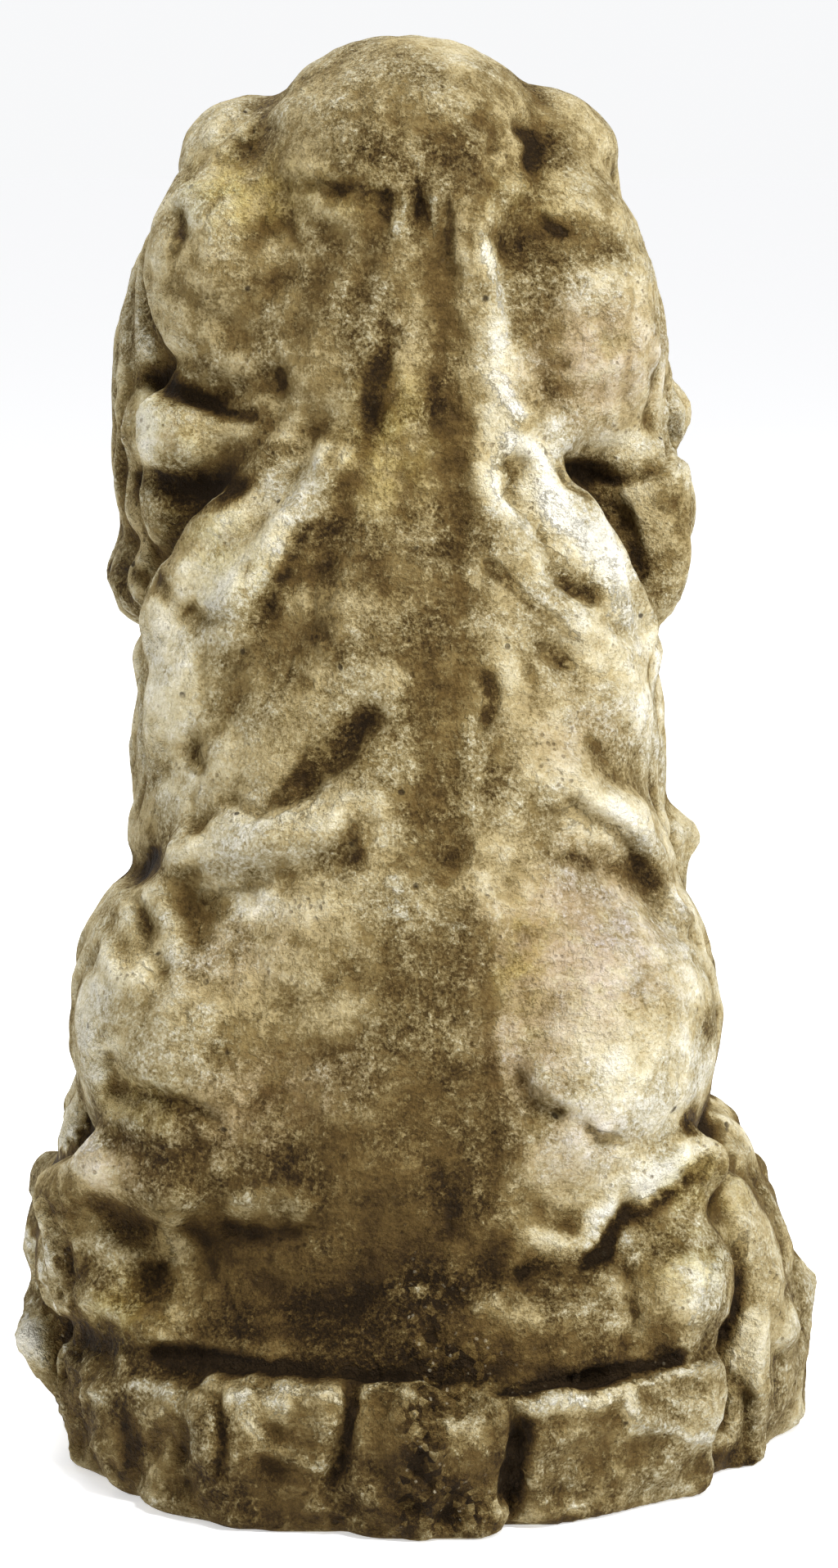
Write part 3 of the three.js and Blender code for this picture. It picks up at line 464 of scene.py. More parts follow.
def front_carving():
    """A furrowed brow, mouth, nostrils and pupils, locks on the chest, and folds on both flanks."""
    strokes = [
        ("front", ((0, 90), (0, 84.5)), 1.3, -0.7),
        ("front", ((0, 77.6), (0, 73.5)), 0.6, -0.8),
    ]
    for side in (LEFT, RIGHT):
        lip = ((side * 1.4, 72.4), (side * 3.4, 70.6), (side * 6.5, 70.4), (side * 9, 73))
        strokes.append(("front", lip, 0.6, -0.7))
        strokes.append(("front", ((side * 1.7, 80), (side * 1.9, 79.2)), 0.5, -1.2))
        strokes.append(("front", ((side * 6.1, 84), (side * 6.3, 83.8)), 0.7, -0.7))
        for lock in range(4):
            x = side * (1.8 + lock * 3.3)
            tip = 34 + 4 * (lock % 2)
            waves = ((x, 62 - lock * 2), (x + side, 56), (x * 0.8, 49), (x * 0.9 + side, 42), (x * 0.6, tip))
            strokes.append(("front", waves, 0.8, -0.9))
    for side in ("left", "right"):
        strokes.append((side, ((-17, 16), (-15.5, 25), (-11, 31.5), (-4, 34.5), (3, 34.5)), 1, -1.3))
        for fold in range(4):
            y = -6 + fold * 5
            strokes.append((side, ((y - 4, 10 + fold), (y, 16), (y + 1, 23 + fold), (y + 4, 29)), 1, -0.7))
            rib = y - 6
            strokes.append((side, ((rib - 1, 56 - fold), (rib + 2, 49), (rib + 1, 42 - fold)), 1, -0.7))
        for lock in range(4):
            y = -11 - lock
            z = 25 - lock * 6
            strokes.append((side, ((y - 1, z + 9), (y + 1, z + 4), (y, z)), 0.7, -0.8))
    return strokes


# The field: a signed distance at each node of the grid

AXES = [np.arange(NET_LOW[k], NET_HIGH[k] + NET_STEP / 2, NET_STEP) for k in range(3)]


def window(low, high):
    """The grid's nodes inside a box, as slices, and their places."""
    cut = [slice(*np.searchsorted(axis, (a, b))) for axis, a, b in zip(AXES, low, high)]
    places = np.meshgrid(*[axis[part] for axis, part in zip(AXES, cut)], indexing="ij", sparse=True)
    return tuple(cut), places


def gather(field, masses, shift):
    for distance, low, high, soft in masses:
        cut, (x, y, z) = window(low + shift, high + shift)
        field[cut] = blend(field[cut], distance(x - shift[0], y - shift[1], z - shift[2]), soft)


def body_field():
    far_off = 1000.0
    field = np.full([len(axis) for axis in AXES], far_off)
    masses = trunk() + folds()
    for side in (LEFT, RIGHT):
        masses += shoulder(side) + hindleg(side) + foreleg(side)
    masses += tail_and_heel() + head()
    for side in (LEFT, RIGHT):
        masses += face(side) + ear(side)
    gather(field, masses, np.array([FIGURE_OFFSET, 0, BASE_HEIGHT]))
    gather(field, base() + packing(), np.zeros(3))
    return field


def between(field, points):
    """Reads a grid at points that lie between its nodes."""
    cell = (points - NET_LOW) / NET_STEP
    low = np.clip(np.floor(cell).astype(int), 0, np.array(field.shape) - 2)
    t = np.clip(cell - low, 0, 1)
    total = 0
    for corner in np.ndindex(2, 2, 2):
        share = np.prod(np.where(corner, t, 1 - t), axis=-1)
        i, j, k = np.moveaxis(low + corner, -1, 0)
        total = total + share * field[i, j, k]
    return total


def spline(places, steps):
    """Points of a smooth curve through places, so many to each stretch."""
    p = np.array(places, dtype=float)
    p = np.vstack([p[:1], p, p[-1:]])
    curve = []
    for a, b, c, d in zip(p[:-3], p[1:-2], p[2:-1], p[3:]):
        v0, v1 = (c - a) / 2, (d - b) / 2
        for t in np.arange(steps) / steps:
            cubed = (2 * b - 2 * c + v0 + v1) * t ** 3
            squared = (3 * c - 3 * b - 2 * v0 - v1) * t ** 2
            curve.append(cubed + squared + v0 * t + b)
    return np.array(curve + [p[-2]])


def on_skin(field, side, flat):
    """Where the flat points of a stroke meet the masses, coming in from the stroke's own side."""
    across, outward = np.array(SIDES[side][0]), np.array(SIDES[side][1])
    out = np.arange(BASE_DEPTH / 2 + CARVING_REACH, 0, -0.4)
    points = np.zeros((len(flat), len(out), 3))
    points[..., :2] = across * flat[:, None, :1] + outward * out[None, :, None] + (FIGURE_OFFSET, 0)
    points[..., 2] = BASE_HEIGHT + flat[:, None, 1]
    met = between(field, points) < 0.2
    found = met.any(1)
    return points[np.arange(len(flat)), met.argmax(1)][found]


def nearest_squared(points, path):
    """The squared distance from points to a path of straight stretches."""
    best = np.full(points.shape[:-1], np.inf)
    for a, b in zip(path[:-1], path[1:]):
        e = b - a
        t = np.clip((points - a) @ e / (e @ e + 1e-9), 0, 1)
        best = np.minimum(best, ((points - a - t[..., None] * e) ** 2).sum(-1))
    return best


def carve(field):
    """The field with the strokes and the weathering taken in."""
    near = np.abs(field) <= CARVING_REACH
    x, y, z = np.meshgrid(*AXES, indexing="ij", sparse=True)
    swell = np.sin(x / 9 + 2 * np.sin(z / 13)) * np.sin(y / 8 + 1.5 * np.sin(x / 17))
    lift = np.where(z < BASE_HEIGHT, 2, 0.6) * swell * np.sin(z / 10 + y / 21)
    for side, places, width, height in neck_carving() + ear_carving() + back_carving() + front_carving():
        path = on_skin(field, side, spline(places, 4) * UNIT)
        reach = 2.2 * width * UNIT
        cut, (px, py, pz) = window(path.min(0) - reach, path.max(0) + reach)
        chosen = near[cut]
        spots = np.stack(np.broadcast_arrays(px, py, pz), -1)[chosen]
        worn = WORN_BACK if side == "back" else 1
        bump = worn * height * UNIT * np.exp(-nearest_squared(spots, path) / (width * UNIT) ** 2)
        lift[cut][chosen] += bump
    carved = np.where(near, field - lift, field)
    return np.maximum(carved, -z)


# The net: one vertex to each cell of the grid that the skin crosses

def fill_touching(field):
    """Where two parts of the skin would touch across a square of the grid, the square is filled."""
    while True:
        touching = 0
        for u, w in ((0, 1), (1, 2), (0, 2)):
            def shifted(du, dw):
                cut = [slice(None)] * 3
                cut[u] = slice(du, field.shape[u] - 1 + du)
                cut[w] = slice(dw, field.shape[w] - 1 + dw)
                return field[tuple(cut)] < 0
            a, b, c, d = shifted(0, 0), shifted(1, 0), shifted(1, 1), shifted(0, 1)
            step_u, step_w = np.eye(3, dtype=int)[u], np.eye(3, dtype=int)[w]
            for here in np.argwhere((a != b) & (a == c) & (b == d)):
                around = (here, here + step_u, here + step_u + step_w, here + step_w)
                square = [tuple(corner) for corner in around]
                outside = [corner for corner in square if field[corner] >= 0]
                if len(outside) == 2:
                    field[min(outside, key=lambda corner: field[corner])] = -0.01 * NET_STEP
                    touching += 1
        if not touching:
            return


def skin(field):
    """The vertices and four-sided faces of the skin between body and air."""
    inside = field < 0
    corners = list(np.ndindex(2, 2, 2))
    reach = [slice(0, n - 1) for n in field.shape]
    held = 0
    for corner in corners:
        cut = tuple(slice(c, n - 1 + c) for c, n in zip(corner, field.shape))
        held = held + inside[cut].astype(np.int8)
    active = (held > 0) & (held < 8)
    cells = np.argwhere(active)
    values = {corner: field[tuple((cells + corner).T)] for corner in corners}
    total = np.zeros((len(cells), 3))
    count = np.zeros(len(cells))
    for a in corners:
        for axis in range(3):
            if a[axis]:
                continue
            b = tuple(1 if k == axis else a[k] for k in range(3))
            crossed = (values[a] < 0) != (values[b] < 0)
            t = values[a][crossed] / (values[a][crossed] - values[b][crossed])
            total[crossed] += a
            total[crossed, axis] += t
            count[crossed] += 1
    points = NET_LOW + (cells + total / count[:, None]) * NET_STEP
    number = np.full(active.shape, -1)
    number[active] = np.arange(len(cells))

    faces = []
    steps = np.eye(3, dtype=int)
    for axis in range(3):
        ahead = list(reach)
        ahead[axis] = slice(1, field.shape[axis])
        here = inside[tuple(reach)]
        crossing = here != inside[tuple(ahead)]
        at = np.argwhere(crossing)
        u, w = steps[(axis + 1) % 3], steps[(axis + 2) % 3]
        ring = np.stack([number[tuple((at - back).T)] for back in (u + w, w, 0 * u, u)], 1)
        outward = here[crossing]
        faces.append(np.where(outward[:, None], ring, ring[:, ::-1]))
    return points, np.vstack(faces)


def normals_of(points, faces):
    diagonals = np.cross(points[faces[:, 2]] - points[faces[:, 0]], points[faces[:, 3]] - points[faces[:, 1]])
    total = np.zeros_like(points)
    for corner in range(4):
        for k in range(3):
            total[:, k] += np.bincount(faces[:, corner], diagonals[:, k], len(points))
    return total / np.maximum(np.linalg.norm(total, axis=1, keepdims=True), 1e-9)


def edges_of(faces):
    pairs = np.vstack([faces[:, [i, (i + 1) % 4]] for i in range(4)])
    return np.unique(np.sort(pairs, 1), axis=0)


def smoothed(values, edges, times, share=0.5):
    """Values on the vertices, drawn towards their neighbours' mean so many times."""
    values = np.array(values, dtype=float)
    flat = values.ndim == 1
    if flat:
        values = values[:, None]
    valence = np.maximum(np.bincount(edges.ravel(), minlength=len(values)), 1)[:, None]
    for _ in range(times):
        total = np.zeros_like(values)
        for k in range(values.shape[1]):
            total[:, k] = np.bincount(edges[:, 0], values[edges[:, 1], k], len(values))
            total[:, k] += np.bincount(edges[:, 1], values[edges[:, 0], k], len(values))
        values = values + share * (total / valence - values)
    return values[:, 0] if flat else values


# Noise on the vertices. The lattice starts at a far corner, so that its places are above 0

FAR_CORNER = 512


def lattice(cells, seed):
    """A fixed pseudo-random number from 0 to 1 at each whole place of a lattice."""
    x, y, z = (cells[:, k].astype(np.uint64) for k in range(3))
    h = x * np.uint64(73856093) ^ y * np.uint64(19349663) ^ z * np.uint64(83492791)
    h = h ^ np.uint64(seed * 2654435761)
    h = (h ^ (h >> np.uint64(13))) * np.uint64(1274126177)
    h = (h ^ (h >> np.uint64(16))) * np.uint64(668265263)
    twenty_bits = 0xFFFFF
    return ((h ^ (h >> np.uint64(15))) & np.uint64(twenty_bits)).astype(float) / twenty_bits


def noise(points, size, seed):
    """Smooth noise from -1 to 1 with lumps about so many millimetres wide."""
    place = points / size + FAR_CORNER
    cell = np.floor(place).astype(np.int64)
    t = place - cell
    t = t * t * (3 - 2 * t)
    total = 0
    for corner in np.ndindex(2, 2, 2):
        share = np.prod(np.where(corner, t, 1 - t), axis=1)
        total = total + share * lattice(cell + np.array(corner), seed)
    return total * 2 - 1


def layered(points, size, seed, layers=3):
    return sum(noise(points, size / 2 ** i, seed + i) / 2 ** i for i in range(layers)) / 1.5


def ramp(value, low, high):
    """From 0 at low to 1 at high, smoothly."""
    t = np.clip((value - low) / (high - low), 0, 1)
    return t * t * (3 - 2 * t)


# The sketch of the back: a place across and down for each vertex, and how openly it shows there

def on_sketch(points):
    """How far across and down the sketch each point lies, and how far away it is."""
    ahead = np.array([0, -math.cos(PITCH), -math.sin(PITCH)])
    up = np.array([0, -math.sin(PITCH), math.cos(PITCH)])
    away = points - STAND
    depth = away @ ahead
    return SKETCH[0] / 2 - FOCAL * away[..., 0] / depth, SKETCH[1] / 2 - FOCAL * (away @ up) / depth, depth


class Sketch:
    def __init__(self, points, normals):
        away = points - STAND
        self.u, self.v, depth = on_sketch(points)
        facing = -(normals * away).sum(1) / np.linalg.norm(away, axis=1)
        # Nothing that lies behind another part takes a mark
        tile = 12
        just_behind = 14
        well_behind = 26
        rows = np.clip(self.v / tile, 0, SKETCH[1] / tile).astype(int)
        columns = np.clip(self.u / tile, 0, SKETCH[0] / tile).astype(int)
        nearest = np.full((SKETCH[1] // tile + 2, SKETCH[0] // tile + 2), np.inf)
        np.minimum.at(nearest, (rows, columns), depth)
        hidden = ramp(depth - nearest[rows, columns], just_behind, well_behind)
        self.open = ramp(facing, 0.02, 0.3) * (1 - hidden)
        # An unsteady hand, so that no mark has a clean edge
        self.drift = np.stack([layered(points, 24, 301, 4), layered(points, 24, 311, 4)], 1)

    def places(self, shake):
        return self.u + shake * self.drift[:, 0], self.v + shake * self.drift[:, 1]

    def from_path(self, places, shake):
        """How far each vertex is from a drawn line, in the sketch's own steps."""
        path = spline(places, 6)
        margin = 90
        low, high = path.min(0) - margin, path.max(0) + margin
        u, v = self.places(shake)
        near = (u > low[0]) & (u < high[0]) & (v > low[1]) & (v < high[1]) & (self.open > 0)
        gap = np.full(len(u), np.inf)
        gap[near] = np.sqrt(nearest_squared(np.stack([u[near], v[near]], 1), path))
        return gap

    def spot(self, u, v, across, down, tilt, shake):
        """1 in the middle of an oval spot, falling to 0 past its edge."""
        c, s = math.cos(math.radians(tilt)), math.sin(math.radians(tilt))
        at_u, at_v = self.places(shake)
        du, dv = at_u - u, at_v - v
        a = (du * c + dv * s) / across
        b = (-du * s + dv * c) / down
        return np.exp(-(a * a + b * b) ** 1.5) * self.open


# Marks on the back, placed on the sketch. A line is (places, width, lift in millimetres).

HEAD_LINES = [
    # Folds of the coat over the ear roots, and the pits beside the crown
    (((345, 113), (285, 150), (228, 212)), 9, -0.9), (((360, 118), (300, 160), (244, 220)), 12, 0.6),
    (((665, 118), (715, 150), (752, 205)), 9, -0.8), (((262, 128), (246, 150), (236, 180)), 9, -0.5),
    (((640, 150), (656, 172), (652, 198)), 14, -1.8), (((672, 140), (688, 160), (690, 186)), 11, 0.9),
    (((598, 178), (604, 200), (622, 212)), 9, -1.1), (((618, 184), (632, 196), (640, 216)), 9, 0.8),
    (((664, 262), (676, 274), (688, 278)), 9, -0.9), (((215, 262), (222, 284), (216, 312)), 10, -1.2),
    (((185, 330), (180, 380), (194, 440)), 9, -0.8), (((200, 250), (196, 300), (170, 350)), 10, 0.5),
    # The fold across the nape, and the drips below it
    (((372, 230), (400, 238), (430, 226), (470, 238)), 9, -0.7),
    (((380, 214), (410, 220), (440, 208), (468, 216)), 11, 0.6),
    (((486, 218), (486, 246), (480, 276)), 9, 1.4), (((526, 236), (526, 262), (522, 288)), 9, 1.3),
    (((470, 236), (468, 270)), 9, -1.1), (((508, 224), (508, 262)), 9, -1.2),
    (((548, 244), (546, 290), (552, 330)), 11, -0.9),
    (((584, 280), (592, 340), (600, 400), (612, 440)), 9, 1.1),
    (((600, 452), (622, 480), (642, 512)), 13, 1.1),
    (((604, 300), (622, 366), (650, 432), (664, 470)), 14, -0.8),
    (((566, 386), (584, 410), (580, 450), (560, 486)), 9, 0.7),
    (((540, 300), (540, 380), (540, 470), (556, 560)), 16, -0.5),
    # Wedges and dents beside the spine, and folds across the sides of the head
    (((478, 404), (470, 450), (456, 512)), 12, -1.5), (((505, 420), (500, 470), (492, 520)), 12, 0.7),
    (((335, 452), (340, 482)), 12, -1.2), (((330, 300), (300, 340), (270, 352)), 14, 0.8),
    (((350, 330), (320, 372), (280, 392)), 12, -0.7), (((190, 400), (240, 440), (300, 452)), 14, 0.8),
    (((430, 300), (410, 350), (380, 400)), 12, 0.7), (((446, 320), (430, 370), (404, 420)), 10, -0.7),
    (((700, 300), (740, 310), (780, 300)), 14, -0.6), (((690, 420), (740, 440), (800, 430)), 16, 0.6),
    (((800, 290), (812, 340), (822, 400)), 10, -0.7),
]

EAR_LINES = [
    # The stacked folds of the left ear
    (((188, 474), (240, 492), (300, 506)), 10, -1.2), (((178, 490), (174, 530), (186, 566)), 9, 1.2),
    (((200, 504), (260, 518), (310, 528)), 12, 0.6), (((166, 606), (210, 626), (262, 640)), 12, 0.6),
    (((148, 690), (180, 712), (214, 742)), 12, -0.9), (((140, 708), (160, 734), (196, 764)), 11, 0.6),
    (((158, 520), (152, 570), (156, 612)), 9, -0.8),
    # The sheet of the right ear and the lobes below it
    (((662, 532), (706, 580), (760, 592), (812, 570), (828, 524)), 11, -1.7),
    (((672, 516), (712, 558), (760, 568), (806, 548)), 12, 1),
    (((824, 470), (818, 510), (832, 548)), 10, -1.2),
    (((762, 632), (776, 682), (784, 736), (800, 764)), 11, -1.9),
    (((840, 560), (836, 620), (846, 680), (820, 730)), 14, 0.8),
    (((790, 610), (806, 660), (812, 710)), 12, -0.7), (((742, 668), (752, 660)), 9, -0.8),
]

SHOULDER_LINES = [
    (((396, 596), (360, 640), (334, 692), (318, 742)), 10, -0.9),
    (((372, 656), (346, 700), (300, 724)), 10, -0.9), (((330, 746), (276, 756), (236, 748)), 10, -0.9),
    (((400, 520), (388, 548), (396, 568)), 9, 0.9), (((380, 520), (372, 552), (350, 580)), 9, -0.8),
    (((620, 596), (658, 640), (682, 704), (740, 752), (806, 782)), 10, -1.2),
    (((636, 562), (628, 590), (640, 616)), 9, -0.8), (((680, 692), (700, 716), (728, 730)), 9, -1),
    (((596, 640), (640, 700), (700, 760), (760, 792)), 12, 0.6),
    (((588, 660), (596, 720), (590, 790)), 12, -0.7), (((660, 796), (676, 812), (694, 806)), 12, -1.3),
    (((588, 836), (600, 862), (594, 890)), 12, -1.4),
]

BACK_LINES = [
    # The furrow of the spine
    (((560, 560), (566, 680), (562, 800), (558, 920), (560, 1046)), 12, -1.2),
    (((500, 600), (496, 720), (500, 840)), 18, -0.6), (((440, 560), (436, 640), (452, 720)), 16, 0.7),
    (((600, 1170), (604, 1250), (600, 1350), (602, 1470)), 8, -0.8), (((470, 1130), (466, 1220)), 9, -0.5),
    # The hollow of the flank, the edge of the thigh and the waist
    (((450, 880), (420, 912), (380, 956)), 18, -1), (((452, 1000), (424, 1006), (420, 1036)), 10, -0.9),
    (((406, 1000), (414, 1030)), 9, 0.6), (((280, 976), (302, 992), (324, 984)), 10, -1.1),
    (((250, 960), (236, 990), (250, 1020)), 10, -0.9),
    (((400, 1020), (340, 1036), (290, 1044), (250, 1046)), 16, 0.5),
    (((246, 1040), (232, 1076), (238, 1130)), 10, -0.6),
    (((190, 1046), (166, 1088), (184, 1140)), 11, -1.4), (((212, 1040), (200, 1076), (208, 1120)), 12, 1.1),
    (((150, 1096), (134, 1140), (140, 1186)), 12, 0.9), (((172, 1150), (196, 1168), (200, 1200)), 10, -1.1),
    (((230, 900), (228, 920), (240, 930)), 10, -1), (((690, 1046), (716, 1060), (740, 1054)), 16, -1.1),
    (((706, 986), (766, 1026), (788, 1080), (826, 1126), (862, 1142)), 12, -1.7),
    (((724, 974), (784, 1016), (806, 1070), (846, 1110)), 12, 1.1),
    (((836, 1000), (846, 1040), (838, 1070)), 9, -1), (((760, 880), (776, 900), (784, 930)), 12, -0.6),
    # Furrows that sweep down over the thigh
    (((424, 1180), (380, 1216), (300, 1236), (220, 1280)), 12, -0.6),
    (((400, 1090), (340, 1150), (260, 1190)), 14, 0.6),
    (((440, 1250), (350, 1310), (300, 1380), (290, 1440)), 11, -0.9),
    (((470, 1200), (400, 1270), (340, 1320)), 12, 0.5),
    (((120, 1290), (158, 1332), (210, 1342), (262, 1366)), 11, -1.4),
    (((116, 1266), (120, 1300), (140, 1330)), 10, -0.9),
    (((634, 1312), (648, 1350), (682, 1366)), 10, -1.6), (((660, 1310), (690, 1340), (720, 1350)), 12, 0.7),
    (((718, 1382), (736, 1402), (752, 1396)), 10, -1.3),
    (((756, 1436), (764, 1466), (780, 1480)), 10, -0.7),
]

LOW_LINES = [
    # The curled heel and the hollow inside it
    (((92, 1392), (150, 1376), (196, 1404)), 18, 0.8), (((90, 1440), (140, 1476), (176, 1500)), 14, -0.6),
    (((84, 1430), (92, 1530), (122, 1598), (206, 1632), (300, 1650)), 11, 1.2),
    (((290, 1468), (330, 1452), (366, 1468), (372, 1486)), 11, 0.8),
    (((286, 1500), (330, 1508), (376, 1500)), 9, -0.6), (((240, 1490), (250, 1540), (230, 1590)), 13, -0.7),
    # The scalloped hem over the tail
    (((620, 1552), (640, 1508), (672, 1512), (710, 1526), (742, 1506), (766, 1452), (812, 1430),
      (852, 1378)), 10, 1.1),
    (((640, 1548), (664, 1534), (706, 1548), (748, 1530), (776, 1482), (826, 1452), (868, 1410)), 11, -1.2),
    (((770, 1546), (780, 1600), (772, 1640)), 8, -1.3), (((660, 1552), (700, 1562), (742, 1580)), 9, -0.9),
    (((896, 1524), (902, 1590), (872, 1650)), 10, -1.8), (((800, 1512), (860, 1520), (884, 1560)), 12, 0.9),
    # The groove between the coat and the rubble
    (((198, 1646), (320, 1668), (410, 1678), (484, 1676)), 9, -1.2),
    (((612, 1690), (700, 1686), (780, 1676), (830, 1662)), 9, -1.4),
    # Splits between the stones, and edges of their broken faces
    (((262, 1700), (276, 1764), (268, 1806)), 9, -1.9), (((430, 1700), (414, 1760), (402, 1810)), 9, -1.9),
    (((524, 1700), (522, 1760), (510, 1850)), 20, -1.6), (((634, 1720), (630, 1768), (618, 1836)), 9, -2.6),
    (((546, 1700), (566, 1688), (600, 1708)), 9, 1.4), (((646, 1712), (740, 1696), (872, 1668)), 10, 2),
    (((654, 1740), (740, 1724), (860, 1700)), 12, -1.2), (((760, 1696), (800, 1740), (890, 1760)), 9, 1.3),
    (((660, 1712), (648, 1780), (670, 1840)), 10, 0.7), (((440, 1704), (480, 1690), (520, 1700)), 9, 1),
    (((286, 1700), (340, 1712), (400, 1704)), 9, 1.6), (((294, 1712), (318, 1760), (380, 1790)), 9, 1.3),
    (((206, 1700), (216, 1750), (196, 1800)), 10, 1.2), (((100, 1700), (160, 1690), (230, 1698)), 10, 1.1),
    (((180, 1720), (196, 1706), (236, 1726), (240, 1780), (210, 1806)), 9, 0.8),
    (((914, 1700), (924, 1750), (916, 1790)), 10, -1.8), (((880, 1600), (930, 1580), (980, 1640)), 16, 1.1),
    (((60, 1560), (50, 1620), (76, 1690)), 11, -1.4), (((60, 1480), (84, 1530), (70, 1580)), 10, -1.2),
]

# Small raised chips: (across, down, half a side, lift)
CHIPS = [
    (485, 1076, 9, 0.9), (487, 1111, 10, 1), (555, 1138, 9, 0.9), (462, 1112, 5, 0.7), (602, 1040, 5, 0.6),
]

# Bug holes: (across, down, radius)
BUG_HOLES = [(113, 1183, 6), (166, 1160, 5), (468, 262, 4), (236, 1068, 4), (262, 1034, 4), (402, 1196, 4)]
